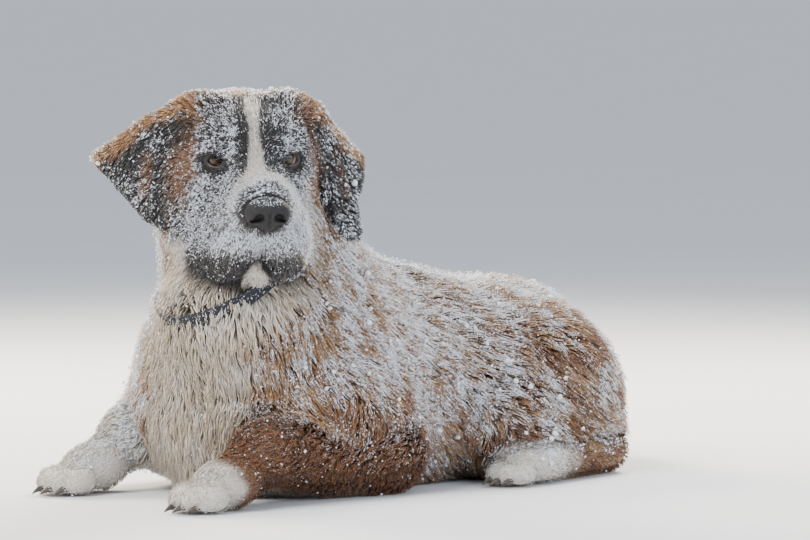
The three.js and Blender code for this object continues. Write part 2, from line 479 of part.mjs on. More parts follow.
// ---- assembly ----
const dog = new THREE.Group();
dog.position.set(-ORIGIN[0], -ORIGIN[1], 0);
function add(name, shape, color, roughness = 0.9) {
  let geo = shape;
  if (!shape.isBufferGeometry) {
    geo = tidy(biggest(shape).getMesh());
  }
  const mesh = new THREE.Mesh(geo, new THREE.MeshStandardMaterial({ color, roughness, metalness: 0 }));
  mesh.name = name;
  dog.add(mesh);
}
const RUST = 0x8a5a38, CREAM = 0xd9cbb6, BLACK = 0x25211f, MASK = 0x2d2725;
add("head", head, MASK);
add("nose", nose, 0x2b2a2c, 0.55);
add("ear_l", earL, BLACK);
add("ear_r", earR, BLACK);
add("neck", neck, RUST);
add("trunk", trunk, RUST);
add("foreleg_l", armL, RUST);
add("foreleg_r", armR, CREAM);
add("forepaw_l", clawHoles(pawL, "forepaw_l"), CREAM);
add("forepaw_r", clawHoles(pawR, "forepaw_r"), CREAM);
add("hindleg_l", thighL, RUST);
add("hindleg_r", thighR, RUST);
add("hindpaw_l", clawHoles(foot(1), "hindleg_l"), CREAM);
add("hindpaw_r", clawHoles(foot(-1), "hindleg_r"), CREAM);
add("tail", tail, RUST);
add("eye_l", eyes.l.geo, 0x2c211a, 0.15);
add("eye_r", eyes.r.geo, 0x2c211a, 0.15);
add("collar", collarRing, 0x1c2030, 0.8);
for (const c of claws) add(c.name, c.geo, 0x3a3431, 0.5);

export default dog;
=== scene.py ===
# A young Saint Bernard lying down, its coat dusted with snow. Metres, +Z up, the dog faces -Y.
import bpy, math
import numpy as np
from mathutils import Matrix, Vector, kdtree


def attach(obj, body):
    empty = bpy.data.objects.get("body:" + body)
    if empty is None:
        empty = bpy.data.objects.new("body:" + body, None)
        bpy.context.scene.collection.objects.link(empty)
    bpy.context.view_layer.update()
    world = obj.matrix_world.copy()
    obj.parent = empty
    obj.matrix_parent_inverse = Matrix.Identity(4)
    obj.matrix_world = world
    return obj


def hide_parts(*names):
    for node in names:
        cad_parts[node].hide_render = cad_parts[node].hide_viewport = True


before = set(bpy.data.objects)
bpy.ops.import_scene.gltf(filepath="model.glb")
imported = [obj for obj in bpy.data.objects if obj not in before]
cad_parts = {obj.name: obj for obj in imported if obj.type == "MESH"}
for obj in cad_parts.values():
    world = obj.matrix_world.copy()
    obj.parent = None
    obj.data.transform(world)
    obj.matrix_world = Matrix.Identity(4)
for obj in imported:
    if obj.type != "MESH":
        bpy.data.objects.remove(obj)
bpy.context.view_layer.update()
RNG = np.random.default_rng(20)
ORIGIN = np.array([-40.4, -37.3, 0.0])      # the body table's frame to the part's frame, mm

# ---- the body table, in mm: masses of the body and the coat's depth f over each ----
BODY = [
  { "name": "trunk", "k": 0, "t": [0,0,0], "rot": [0,0,0], "sym": False, "flip": False, "same": None, "prims": [
    { "n": "ribcage", "t": "E", "c": [0,-70,112], "r": [116,215,112], "k": 0, "f": 24 },
    { "n": "forechest", "t": "E", "c": [-2,-228,122], "r": [114,104,108], "k": 50, "f": 28 },
    { "n": "shoulder_l", "t": "E", "c": [80,-165,112], "r": [50,85,104], "rot": [-12,-8,0], "k": 45, "f": 22 },
    { "n": "shoulder_r", "t": "E", "c": [-100,-176,124], "r": [48,85,112], "rot": [-12,8,0], "k": 45, "f": 22 },
    { "n": "withers", "t": "C", "a": [0,-140,232], "b": [0,0,184], "ra": 42, "rb": 34, "k": 60, "f": 22 },
    { "n": "loin", "t": "E", "c": [0,95,104], "r": [98,160,102], "k": 60, "f": 22 },
    { "n": "croup", "t": "E", "c": [0,188,118], "r": [94,102,88], "k": 50, "f": 22 },
    { "n": "sternum", "t": "E", "c": [0,-120,45], "r": [95,170,42], "k": 40, "f": 16 },
  ] },
  { "name": "neck", "k": 60, "t": [0,0,0], "rot": [0,0,0], "sym": False, "flip": False, "same": None, "prims": [
    { "n": "neck_core", "t": "C", "a": [-6,-180,195], "b": [8,-238,300], "ra": 94, "rb": 84, "k": 0, "f": 24 },
    { "n": "throat_ruff", "t": "E", "c": [48,-300,210], "r": [66,56,52], "rot": [0,0,50], "k": 50, "f": 22 },
  ] },
  { "name": "head", "k": 30, "t": [86,-306,385], "rot": [12,0,58], "sym": True, "flip": False, "same": None, "prims": [
    { "n": "cranium", "t": "E", "c": [0,54,6], "r": [66,80,53], "k": 0, "f": 8 },
    { "n": "brow", "t": "E", "c": [27,15,28], "r": [30,30,20], "k": 25, "f": 5 },
    { "n": "tuft", "t": "E", "c": [50,46,42], "r": [25,24,19], "k": 16, "f": 11 },
    { "n": "cheek", "t": "E", "c": [50,44,-28], "r": [30,52,44], "k": 30, "f": 6 },
    { "n": "bridge", "t": "C", "a": [0,-8,-16], "b": [0,-84,-20], "ra": 22, "rb": 18, "k": 18, "f": 4 },
    { "n": "muzzle", "t": "C", "a": [0,0,-40], "b": [0,-62,-46], "ra": 43, "rb": 36, "k": 25, "f": 5 },
    { "n": "jowl", "t": "E", "c": [42,10,-90], "r": [28,46,36], "rot": [0,-8,0], "k": 26, "f": 8 },
    { "n": "flew", "t": "E", "c": [29,-44,-80], "r": [29,42,44], "rot": [0,-6,0], "k": 22, "f": 6 },
    { "n": "chin", "t": "E", "c": [0,-40,-112], "r": [23,34,17], "k": 5, "f": 6 },
    { "n": "jaw", "t": "E", "c": [0,10,-80], "r": [46,60,36], "k": 30, "f": 12 },
    { "n": "socket", "t": "E", "c": [41,-14,0], "r": [17,13,12], "rot": [0,0,-12], "op": "-", "k": 6, "f": 0 },
  ] },
  { "name": "nose", "k": 4, "t": [86,-306,385], "rot": [12,0,58], "sym": True, "flip": False, "same": None, "prims": [
    { "n": "nose_pad", "t": "E", "c": [0,-101,-33], "r": [24,17.5,18], "k": 0, "f": 0 },
  ] },
  { "name": "ear_r", "k": 8, "t": [86,-306,385], "rot": [12,0,58], "sym": False, "flip": False, "same": None, "prims": [
    { "n": "flap_r", "t": "F", "c": [-70,32,50], "e1": [-0.85,0.53,0], "e2": [0,0,-1], "poly": [[5,0],[45,20],[108,72],[84,90],[44,128],[26,136],[12,116],[14,45]], "bend": [-0.001,-0.0005,0], "th": 1.5, "round": 4.5, "k": 0, "f": 6 },
    { "n": "burr_r", "t": "E", "c": [-72,40,32], "r": [13,22,18], "k": 18, "f": 7 },
  ] },
  { "name": "ear_l", "k": 8, "t": [86,-306,385], "rot": [12,0,58], "sym": False, "flip": False, "same": None, "prims": [
    { "n": "flap_l", "t": "F", "c": [70,32,50], "e1": [0.8,0.6,0], "e2": [0,0,-1], "poly": [[10,6],[50,40],[84,70],[78,90],[58,112],[52,146],[38,144],[24,112],[16,62],[8,22]], "bend": [0.0006,-0.0016,0], "th": 1.5, "round": 4.5, "k": 0, "f": 6 },
    { "n": "burr_l", "t": "E", "c": [72,40,32], "r": [13,22,18], "k": 18, "f": 7 },
  ] },
  { "name": "foreleg_l", "k": 30, "t": [0,0,0], "rot": [0,0,0], "sym": False, "flip": False, "same": None, "prims": [
    { "n": "upper_arm", "t": "C", "a": [95,-190,95], "b": [118,-130,48], "ra": 48, "rb": 38, "k": 0, "f": 14 },
    { "n": "forearm", "t": "C", "a": [118,-130,42], "b": [122,-312,56], "ra": 37, "rb": 28, "k": 20, "f": 8 },
    { "n": "carpus", "t": "E", "c": [122,-325,58], "r": [30,34,30], "k": 20, "f": 6 },
    { "n": "paw", "t": "E", "c": [124,-378,29], "r": [34,44,27], "rot": [12,0,0], "k": 22, "f": 4 },
    { "n": "toe1", "t": "E", "c": [100,-422,15.5], "r": [12,21,15], "rot": [12,0,12], "k": 5, "f": 3 },
    { "n": "toe2", "t": "E", "c": [115,-434,15.5], "r": [12,21,15], "rot": [12,0,4.5], "k": 5, "f": 3 },
    { "n": "toe3", "t": "E", "c": [133,-434,15.5], "r": [12,21,15], "rot": [12,0,-4.5], "k": 5, "f": 3 },
    { "n": "toe4", "t": "E", "c": [148,-422,15.5], "r": [12,21,15], "rot": [12,0,-12], "k": 5, "f": 3 },
  ] },
  { "name": "foreleg_r", "k": 30, "t": [0,0,0], "rot": [0,0,0], "sym": False, "flip": False, "same": None, "prims": [
    { "n": "upper_arm", "t": "C", "a": [-95,-190,95], "b": [-118,-130,48], "ra": 48, "rb": 38, "k": 0, "f": 14 },
    { "n": "forearm", "t": "C", "a": [-118,-130,42], "b": [-122,-290,60], "ra": 37, "rb": 28, "k": 20, "f": 8 },
    { "n": "carpus", "t": "E", "c": [-122,-303,62], "r": [30,34,30], "k": 20, "f": 6 },
    { "n": "paw", "t": "E", "c": [-124,-354,29], "r": [34,44,27], "rot": [14,0,0], "k": 22, "f": 4 },
    { "n": "toe1", "t": "E", "c": [-148,-398,15.5], "r": [12,21,15], "rot": [12,0,12], "k": 5, "f": 3 },
    { "n": "toe2", "t": "E", "c": [-133,-410,15.5], "r": [12,21,15], "rot": [12,0,4.5], "k": 5, "f": 3 },
    { "n": "toe3", "t": "E", "c": [-115,-410,15.5], "r": [12,21,15], "rot": [12,0,-4.5], "k": 5, "f": 3 },
    { "n": "toe4", "t": "E", "c": [-100,-398,15.5], "r": [12,21,15], "rot": [12,0,-12], "k": 5, "f": 3 },
  ] },
  { "name": "hindleg_l", "k": 30, "t": [0,0,0], "rot": [0,0,0], "sym": False, "flip": False, "same": None, "prims": [
    { "n": "thigh", "t": "E", "c": [88,168,90], "r": [54,106,90], "rot": [-10,0,0], "k": 0, "f": 20 },
    { "n": "stifle", "t": "E", "c": [122,80,58], "r": [40,50,50], "k": 40, "f": 14 },
    { "n": "shin", "t": "C", "a": [134,80,38], "b": [120,222,34], "ra": 34, "rb": 26, "k": 25, "f": 10 },
    { "n": "hock", "t": "C", "a": [140,226,26], "b": [164,98,26], "ra": 20, "rb": 22, "k": 15, "f": 6 },
    { "n": "hindpaw", "t": "E", "c": [168,66,23], "r": [29,40,22], "k": 20, "f": 4 },
    { "n": "toe1", "t": "E", "c": [147.6,28.5,14], "r": [10.5,18.375,13.125], "rot": [12,0,12], "k": 5, "f": 3 },
    { "n": "toe2", "t": "E", "c": [160.3,18.300000000000004,14], "r": [10.5,18.375,13.125], "rot": [12,0,4.5], "k": 5, "f": 3 },
    { "n": "toe3", "t": "E", "c": [175.7,18.300000000000004,14], "r": [10.5,18.375,13.125], "rot": [12,0,-4.5], "k": 5, "f": 3 },
    { "n": "toe4", "t": "E", "c": [188.4,28.5,14], "r": [10.5,18.375,13.125], "rot": [12,0,-12], "k": 5, "f": 3 },
  ] },
  { "name": "hindleg_r", "k": 30, "t": [0,0,0], "rot": [0,0,0], "sym": False, "flip": True, "same": "hindleg_l", "prims": [
  ] },
  { "name": "tail", "k": 30, "t": [0,0,0], "rot": [0,0,0], "sym": False, "flip": False, "same": None, "prims": [
    { "n": "tail1", "t": "C", "a": [0,275,100], "b": [-28,330,48], "ra": 30, "rb": 26, "k": 0, "f": 16 },
    { "n": "tail2", "t": "C", "a": [-28,330,46], "b": [-120,348,26], "ra": 26, "rb": 24, "k": 20, "f": 18 },
    { "n": "tail3", "t": "C", "a": [-120,348,26], "b": [-205,305,24], "ra": 24, "rb": 20, "k": 20, "f": 20 },
    { "n": "tail4", "t": "C", "a": [-205,305,24], "b": [-258,225,20], "ra": 20, "rb": 10, "k": 20, "f": 18 },
  ] },
]

# ---------------------------------------------------------------- distances
def rot(rx, ry, rz):
    a, b, c = np.radians([rx, ry, rz])
    X = np.array([[1, 0, 0], [0, np.cos(a), -np.sin(a)], [0, np.sin(a), np.cos(a)]])
    Y = np.array([[np.cos(b), 0, np.sin(b)], [0, 1, 0], [-np.sin(b), 0, np.cos(b)]])
    Z = np.array([[np.cos(c), -np.sin(c), 0], [np.sin(c), np.cos(c), 0], [0, 0, 1]])
    return Z @ Y @ X

def d_ell(P, p):
    q = (P - p['c']) @ p['R']; r = p['r']
    k0 = np.sqrt(((q / r) ** 2).sum(1)); k1 = np.sqrt(((q / (r * r)) ** 2).sum(1)) + 1e-9
    return k0 * (k0 - 1) / k1

def d_cone(P, p):
    a, b, r1, r2 = p['a'], p['b'], p['ra'], p['rb']
    ba = b - a; l2 = ba @ ba; rr = r1 - r2; a2 = max(l2 - rr * rr, 1e-6); il2 = 1 / l2
    pa = P - a; y = pa @ ba; z = y - l2
    x = pa * l2 - y[:, None] * ba; x2 = (x * x).sum(1); y2 = y * y * l2; z2 = z * z * l2
    kk = np.sign(rr) * rr * rr * x2
    out = (np.sqrt(x2 * a2 * il2) + y * rr) * il2 - r1
    m1 = np.sign(z) * a2 * z2 > kk
    out = np.where(m1, np.sqrt(x2 + z2) * il2 - r2, out)
    m2 = (~m1) & (np.sign(y) * a2 * y2 < kk)
    return np.where(m2, np.sqrt(x2 + y2) * il2 - r1, out)

def flap_local(P, p):
    q = (P - p['c']) @ p['R']
    x, y, z = q[:, 0], q[:, 1], q[:, 2]
    b1, b2, b3 = p['bend']
    return x, y, z - (b1 * x * x + b2 * y * y + b3 * x * y)

def outline(x, y, V):
    n = len(V)
    d = (x - V[0][0]) ** 2 + (y - V[0][1]) ** 2
    s = np.ones_like(x)
    for i in range(n):
        j = (i - 1) % n
        ex, ey = V[j][0] - V[i][0], V[j][1] - V[i][1]
        wx, wy = x - V[i][0], y - V[i][1]
        t = np.clip((wx * ex + wy * ey) / (ex * ex + ey * ey), 0, 1)
        d = np.minimum(d, (wx - ex * t) ** 2 + (wy - ey * t) ** 2)
        c1 = y >= V[i][1]; c2 = y < V[j][1]; c3 = ex * wy > ey * wx
        s = np.where((c1 & c2 & c3) | (~c1 & ~c2 & ~c3), -s, s)
    return s * np.sqrt(d)

def d_flap(P, p):
    x, y, z = flap_local(P, p)
    d2 = outline(x, y, p['poly']); w = np.abs(z) - p['th']
    return np.minimum(np.maximum(d2, w), 0) + np.sqrt(np.maximum(d2, 0) ** 2 + np.maximum(w, 0) ** 2) - p['round']

KIND = {'E': d_ell, 'C': d_cone, 'F': d_flap}

def smin(a, b, k):
    if k <= 0: return np.minimum(a, b)
    h = np.maximum(k - np.abs(a - b), 0) / k
    return np.minimum(a, b) - h * h * k * 0.25

def smax(a, b, k): return -smin(-a, -b, k)

for g in BODY:
    g['M'] = rot(*g['rot']); g['T'] = np.array(g['t'], float)
    if g['same']:
        g['P'] = next(o for o in BODY if o['name'] == g['same'])['P']; continue
    for p in g['prims']:
        for kk in ('c', 'r', 'a', 'b'):
            if kk in p: p[kk] = np.array(p[kk], float)
        p['R'] = rot(*p.get('rot', [0, 0, 0]))
        if 'e1' in p:
            e1 = np.array(p['e1'], float); e1 /= np.linalg.norm(e1)
            e2 = np.array(p['e2'], float); e2 -= e1 * (e1 @ e2); e2 /= np.linalg.norm(e2)
            p['R'] = np.stack([e1, e2, np.cross(e1, e2)], 1)
    g['P'] = g['prims']
GROUP = {g['name']: g for g in BODY}
HEAD = GROUP['head']
EYE = np.array([41.0, 1.0, 1.5]); EYE_R = 13.0

def local(g, P):
    q = (P - g['T']) @ g['M']
    if g['flip']: q = q * np.array([-1, 1, 1.0])
    return q

# face details of the skin itself: lids round each eyeball, the stop, the groove under the nose, the lips
def face(q, d):
    e = q - EYE
    ball = np.sqrt((e ** 2).sum(1)) - 15.0
    d = smin(d, ball, 6)
    up = np.where(e[:, 2] > 0, 7.4, 6.6)
    wide = 9.6
    ez = e[:, 2] - 0.05 * e[:, 0]
    op = (np.sqrt((e[:, 0] / wide) ** 2 + (ez / up) ** 2) - 1) * 7.2
    d = smax(d, -np.maximum(op, e[:, 1] + 3), 1.6)
    # crease above the upper lid and below the lower one
    for z0, dep in ((10.5, 1.5), (-12.0, 1.3)):
        cr = np.sqrt((e[:, 0] / 15.0) ** 2 + (ez / abs(z0)) ** 2)
        ridge = np.exp(-((cr - 1) * 9) ** 2) * (e[:, 1] < 0) * (np.sign(e[:, 2]) == np.sign(z0))
        d = d + dep * ridge * np.exp(-(np.abs(ball) / 9) ** 2)
    # groove down the middle of the upper lip, and the brow's furrow
    x, y, z = q[:, 0], q[:, 1], q[:, 2]
    g1 = np.exp(-(x / 2.2) ** 2) * np.clip((-50 - z) / 8, 0, 1) * np.clip((z + 118) / 14, 0, 1) * np.clip((-60 - y) / 15, 0, 1)
    g2 = np.exp(-(x / 5.5) ** 2) * np.clip((z - 8) / 16, 0, 1) * np.clip((58 - z) / 20, 0, 1) * np.clip((20 - y) / 20, 0, 1)
    d = d + 4.5 * g1 + 2.0 * g2
    # edge of the hanging lip: a fold along the underside of the flews, turned in towards the mouth
    lip = np.array([27.0, -46.0, -108.0])
    m = np.sqrt(((x - lip[0] + 4) / 20.0) ** 2 + ((y + 52) / 40.0) ** 2)
    fold = np.exp(-((m - 0.62) * 6) ** 2) * np.clip((-98 - z) / 8, 0, 1)
    return d + 2.2 * fold

def gdist(g, P, coat=1.0, keep=None):
    q = local(g, P)
    if g['sym']: q = np.concatenate([np.abs(q[:, :1]), q[:, 1:]], 1)
    d = None
    for i, p in enumerate(g['P']):
        if keep is not None and i not in keep: continue
        if p.get('op') == '-': continue
        di = KIND[p['t']](q, p) - p['f'] * coat
        d = di if d is None else smin(d, di, p['k'])
    if d is not None and g['name'] == 'head' and coat == 0: d = face(q, d)
    return d

def whole(P, coat=1.0, skip=('nose',), only=None):
    d = None
    for g in BODY:
        if g['name'] in skip: continue
        dg = gdist(g, P, coat)
        d = dg if d is None else smin(d, dg, g['k'])
    return d

def field_grid(lo, hi, h, coat=0.0, skip=('nose',), B=8):
    lo = np.array(lo, float); hi = np.array(hi, float)
    n = np.ceil((hi - lo) / h).astype(int) + 1
    nb = -(-n // B)
    F = np.full(nb * B, 1e3, np.float32)
    I = np.stack(np.meshgrid(*[np.arange(m) for m in nb], indexing='ij'), -1).reshape(-1, 3)
    C = lo + (I * B + (B - 1) / 2) * h
    dc = whole(C, coat, skip)
    R = (B / 2) * h * np.sqrt(3) * 1.35 + 10
    act = np.abs(dc) < R
    F4 = F.reshape(nb[0], B, nb[1], B, nb[2], B)
    for (i, j, k), v in zip(I[~act], dc[~act]): F4[i, :, j, :, k, :] = v
    off = np.stack(np.meshgrid(*[np.arange(B)] * 3, indexing='ij'), -1).reshape(-1, 3) * h
    A = I[act]; CA = C[act]
    D = []
    for gi, g in enumerate(BODY):
        if g['name'] in skip: continue
        q = local(g, CA)
        if g['sym']: q = np.concatenate([np.abs(q[:, :1]), q[:, 1:]], 1)
        for pi, p in enumerate(g['P']):
            D.append((gi, pi, KIND[p['t']](q, p) - p['f'] * coat, p['k']))
    dmin = np.min([d[2] for d in D], 0)
    hb = (B / 2) * h * np.sqrt(3)
    K = np.stack([d[2] < dmin + 2.6 * hb + max(d[3], 30) for d in D], 1)
    for bi in range(len(A)):
        keep = {}
        for di, d in enumerate(D):
            if K[bi, di]: keep.setdefault(d[0], set()).add(d[1])
        P = lo + A[bi] * B * h + off
        d = None
        for gi in sorted(keep):
            dg = gdist(BODY[gi], P, coat, keep[gi])
            if dg is None: continue
            d = dg if d is None else smin(d, dg, BODY[gi]['k'])
        i, j, k = A[bi]
        F4[i, :, j, :, k, :] = d.reshape(B, B, B)
    return F, lo

def nets(F, lo, h):
    S = F < 0
    n = np.array(F.shape); c = n - 1
    cnt = np.zeros(c, np.int8)
    for dx in (0, 1):
        for dy in (0, 1):
            for dz in (0, 1):
                cnt += S[dx:dx + c[0], dy:dy + c[1], dz:dz + c[2]]
    cell = (cnt > 0) & (cnt < 8)
    idx = -np.ones(c, np.int64)
    ci = np.argwhere(cell)
    idx[tuple(ci.T)] = np.arange(len(ci))
    acc = np.zeros((len(ci), 3)); num = np.zeros(len(ci))
    for a in [(a, b, d) for a in (0, 1) for b in (0, 1) for d in (0, 1)]:
        for ax in range(3):
            if a[ax] == 1: continue
            b = list(a); b[ax] = 1
            fa = F[tuple((ci + a).T)]; fb = F[tuple((ci + b).T)]
            m = (fa < 0) != (fb < 0)
            t = np.where(m, fa / np.where(m, fa - fb, 1), 0)
            p = np.array(a, float)[None, :] + 0 * acc
            p[:, ax] += t
            acc += p * m[:, None]; num += m
    V = (ci + acc / num[:, None]) * h + lo
    Q = []
    for ax in range(3):
        o = [0, 1, 2]; o.remove(ax); u, w = o
        sl0 = [slice(None)] * 3; sl1 = [slice(None)] * 3
        sl0[ax] = slice(0, -1); sl1[ax] = slice(1, None)
        A, B = S[tuple(sl0)], S[tuple(sl1)]
        e = np.argwhere(A != B)
        e = e[(e[:, u] > 0) & (e[:, w] > 0) & (e[:, u] < n[u] - 1) & (e[:, w] < n[w] - 1)]
        du = np.zeros(3, int); du[u] = 1
        dw = np.zeros(3, int); dw[w] = 1
        q = np.stack([idx[tuple((e - du - dw).T)], idx[tuple((e - dw).T)], idx[tuple(e.T)], idx[tuple((e - du).T)]], 1)
        inside = A[tuple(e.T)]
        flip = inside if ax != 1 else ~inside
        Q.append(np.where(flip[:, None], q, q[:, ::-1]))
    return V, np.concatenate(Q)

class Grid:
    """the skin's distance, read between the grid's points"""
    def __init__(self, F, lo, h): self.F, self.lo, self.h = F, lo, h
    def __call__(self, P):
        x = (P - self.lo) / self.h
        n = np.array(self.F.shape)
        i = np.clip(np.floor(x).astype(int), 0, n - 2); f = np.clip(x - i, 0, 1)
        out = 0
        for a in (0, 1):
            for b in (0, 1):
                for c in (0, 1):
                    w = (f[:, 0] if a else 1 - f[:, 0]) * (f[:, 1] if b else 1 - f[:, 1]) * (f[:, 2] if c else 1 - f[:, 2])
                    out = out + w * self.F[i[:, 0] + a, i[:, 1] + b, i[:, 2] + c]
        return out
    def grad(self, P, e=2.5):
        g = np.stack([self(P + v) - self(P - v) for v in np.eye(3) * e], 1)
        return g / (np.linalg.norm(g, axis=1, keepdims=True) + 1e-9)

# ---------------------------------------------------------------- noise by sums of sines, smooth and repeatable
def noise(P, size, seed=0, octaves=3):
    r = np.random.default_rng(seed + 100)
    out = np.zeros(len(P)); amp = 1.0; tot = 0
    for o in range(octaves):
        for _ in range(5):
            k = r.normal(size=3); k *= 2 * np.pi / (size * np.linalg.norm(k)) * r.uniform(0.7, 1.4)
            out += amp * np.sin(P @ k + r.uniform(0, 6.28)) / 5 ** 0.5
            tot += amp * amp / 10
        amp *= 0.6; size *= 0.5
    return out / np.sqrt(tot) * 0.5            # about -1 to 1

def unit(v): return v / (np.linalg.norm(v, axis=1, keepdims=True) + 1e-9)
def step(a, b, x):
    t = np.clip((x - a) / (b - a), 0, 1); return t * t * (3 - 2 * t)
def mix(a, b, t): return a * (1 - t[:, None]) + np.asarray(b) * t[:, None]

# ---------------------------------------------------------------- colours (linear) and markings
RUST = np.array([0.225, 0.105, 0.048]); TAN = np.array([0.44, 0.265, 0.135]); DARK = np.array([0.014, 0.012, 0.013])
GOLD = np.array([0.50, 0.27, 0.10])
WHITE = np.array([0.84, 0.80, 0.74]); CREAM = np.array([0.74, 0.65, 0.53]); BROWN = np.array([0.13, 0.060, 0.030])
GREY = np.array([0.42, 0.40, 0.39]); SNOW = np.array([0.82, 0.87, 0.95])
NAMES = [g['name'] for g in BODY if g['name'] != 'nose']

def weights(P, soft=9.0):
    D = np.stack([gdist(GROUP[n], P, 0.5) for n in NAMES], 1)
    W = np.exp(-(D - D.min(1, keepdims=True)) / soft)
    return W / W.sum(1, keepdims=True)

# the face seen from its front: across (+ to the dog's left) and down, in steps of 1.12 mm, and how squarely it faces
FB = np.array([0.7058, -0.7058, 0.0610]); FR = np.array([0.7071, 0.7071, 0.0]); FU = np.cross(FB, FR)
def plane(P, N):
    Q = P - HEAD['T']
    return Q @ FR / 1.12, -(Q @ FU) / 1.12, N @ FB

def markings(P, N, W):
    """coat colour and snow (0-1) at skin points P (mm, table frame) with normals N"""
    w = {n: W[:, i] for i, n in enumerate(NAMES)}
    n1 = noise(P, 90, 1); n2 = noise(P, 38, 2); n3 = noise(P, 14, 3, 2)
    x, y, z = P.T
    # body: rust with black-tipped saddle and flanks, tan rump and neck
    body = mix(np.tile(RUST * 1.15, (len(P), 1)), TAN, step(-0.55, 0.25, n1 * 0.7 + n2 * 0.4))
    body = mix(body, GOLD * 0.85, step(0.15, 0.6, n3 * 0.6 + n2 * 0.5) * 0.6)
    saddle = step(215, 262, z + 16 * n1 + 14 * n2) * step(-150, -60, y) * step(170, 110, y + 18 * n1)
    flank = step(-0.15, 0.45, n1 * 0.8 + n2 * 0.5 + 0.15 * np.sin(y / 38.0)) * step(-150, -90, y) * step(150, 90, y) * step(60, 110, z)
    body = mix(body, DARK * 1.3, np.clip(np.maximum(saddle * 0.93, flank * 0.62), 0, 1))
    rump = step(90, 150, y + 20 * n2)
    body = mix(body, mix(np.tile(TAN, (len(P), 1)), GOLD * 0.8, step(-0.4, 0.5, n2)), rump * 0.85)
    # neck: golden; throat, bib and chest cream to white
    q = local(HEAD, P)
    neck = mix(np.tile(TAN * 1.05, (len(P), 1)), GOLD * 0.72, step(-0.1, 0.8, n2 + 0.4 * n1))
    neck = mix(neck, BROWN, step(0.25, 0.75, n3 + 0.5 * n1) * 0.6)
    col = mix(body, neck, np.clip(w['neck'] * 1.3, 0, 1))
    front = np.array([0.25, -0.97, 0.0])
    X, Y, facing = plane(P, N)
    left = np.interp(Y, [90, 125, 160, 190, 250], [-66, -78, -80, -84, -96]); right_ = np.interp(Y, [90, 130, 155, 175, 215, 250], [50, 44, 12, -3, -8, -8])
    bib = step(-9, 9, X - left + 10 * n2 + 5 * n3) * step(9, -9, X - right_ + 12 * n2 + 5 * n3) * step(-0.2, 0.15, facing) * step(-120, -180, y) * step(84, 100, Y)
    paleside = step(-0.1, 0.5, N @ np.array([-0.9, -0.4, 0.1]) + 0.2 * n2) * step(-140, -220, y)
    bib = np.maximum(bib, paleside * 0.5 * step(120, 60, z))
    under = step(70, 25, z + 8 * n2) * step(-40, -120, y)
    col = mix(col, mix(np.tile(WHITE, (len(P), 1)), CREAM, step(-0.2, 0.7, n2 + 0.5)), np.clip(np.maximum(bib, under * 0.9), 0, 1))
    gold = step(-0.2, 0.5, noise(P, 45, 41)) * (1 - bib)
    throat = step(30, -10, np.abs(q[:, 0]) - 42 + 8 * n2) * step(-70, -95, q[:, 2]) * step(-165, -125, q[:, 2] + 8 * n2) * step(90, 50, q[:, 1])
    col = mix(col, CREAM * 1.08, throat)
    # legs
    arm = mix(np.tile(BROWN * 1.6, (len(P), 1)), RUST * 1.1, step(-0.4, 0.5, n2))
    foot = step(-372, -396, y + 6 * n2)
    arm = mix(arm, WHITE, foot)
    col = mix(col, arm, np.clip(w['foreleg_l'] * 1.15, 0, 1))
    armr = mix(np.tile(GREY * 1.15, (len(P), 1)), WHITE, step(-150, -260, y + 10 * n2))
    col = mix(col, armr, np.clip(w['foreleg_r'] * 1.15, 0, 1))
    for s in ('l', 'r'):
        hl = w['hindleg_' + s]
        leg = mix(np.tile(TAN * 0.95, (len(P), 1)), RUST, step(-0.5, 0.5, n2 + 0.3 * n1))
        leg = mix(leg, WHITE, step(60, 40, z + 8 * n2) * step(140, 100, y + 10 * n1) * step(138, 150, np.abs(x)))
        col = mix(col, leg, np.clip(hl * 1.1, 0, 1))
    tail = mix(np.tile(RUST * 0.9, (len(P), 1)), DARK * 1.6, step(0.0, 0.7, n2 + 0.3))
    tail = mix(tail, WHITE, step(-205, -235, x) * step(330, 290, y))
    col = mix(col, tail, np.clip(w['tail'] * 1.2, 0, 1))
    # head
    a = np.abs(q[:, 0]); u = q[:, 1]; v = q[:, 2]
    X, Y, facing = plane(P, N)
    fr1 = step(-0.15, 0.2, facing)
    one = np.ones(len(P))
    face = np.tile(DARK * 1.4, (len(P), 1))
    # rust temples, golden crown and ear bases, dark back of the skull
    temple = step(-48, -55, X + 2.5 * n3 + 2 * n2) * step(-38, -24, Y) * step(30, 8, Y)
    temple = np.maximum(temple, step(50, 58, a + 4 * n3) * step(-2, 14, u) * step(-70, -30, v))
    face = mix(face, RUST * 1.25, temple * 0.9)
    face = mix(face, mix(np.tile(GOLD, (len(P), 1)), TAN, step(-0.3, 0.5, n2)), step(30, 52, u + 8 * n2) * step(22, 34, v + 6 * n2) * 0.95)
    face = mix(face, mix(np.tile(TAN, (len(P), 1)), CREAM, step(-0.2, 0.6, n2)), step(48, 54, X + 2 * n2) * step(10, 30, Y) * 0.8)
    back = step(60, 100, u + 10 * n2)
    face = mix(face, mix(np.tile(RUST, (len(P), 1)), DARK, step(-0.1, 0.5, n2)), back * step(30, 0, v))
    # upper lip and the sides of the muzzle: grizzled grey
    mu = step(1.12, 0.92, np.sqrt(((X - 8) / 46) ** 2 + ((Y - 78) / 52) ** 2) + 0.05 * n3) * fr1 * step(-20, -45, u)
    face = mix(face, GREY * 0.42, mu * 0.85 * step(104, 90, Y + 3 * n2))
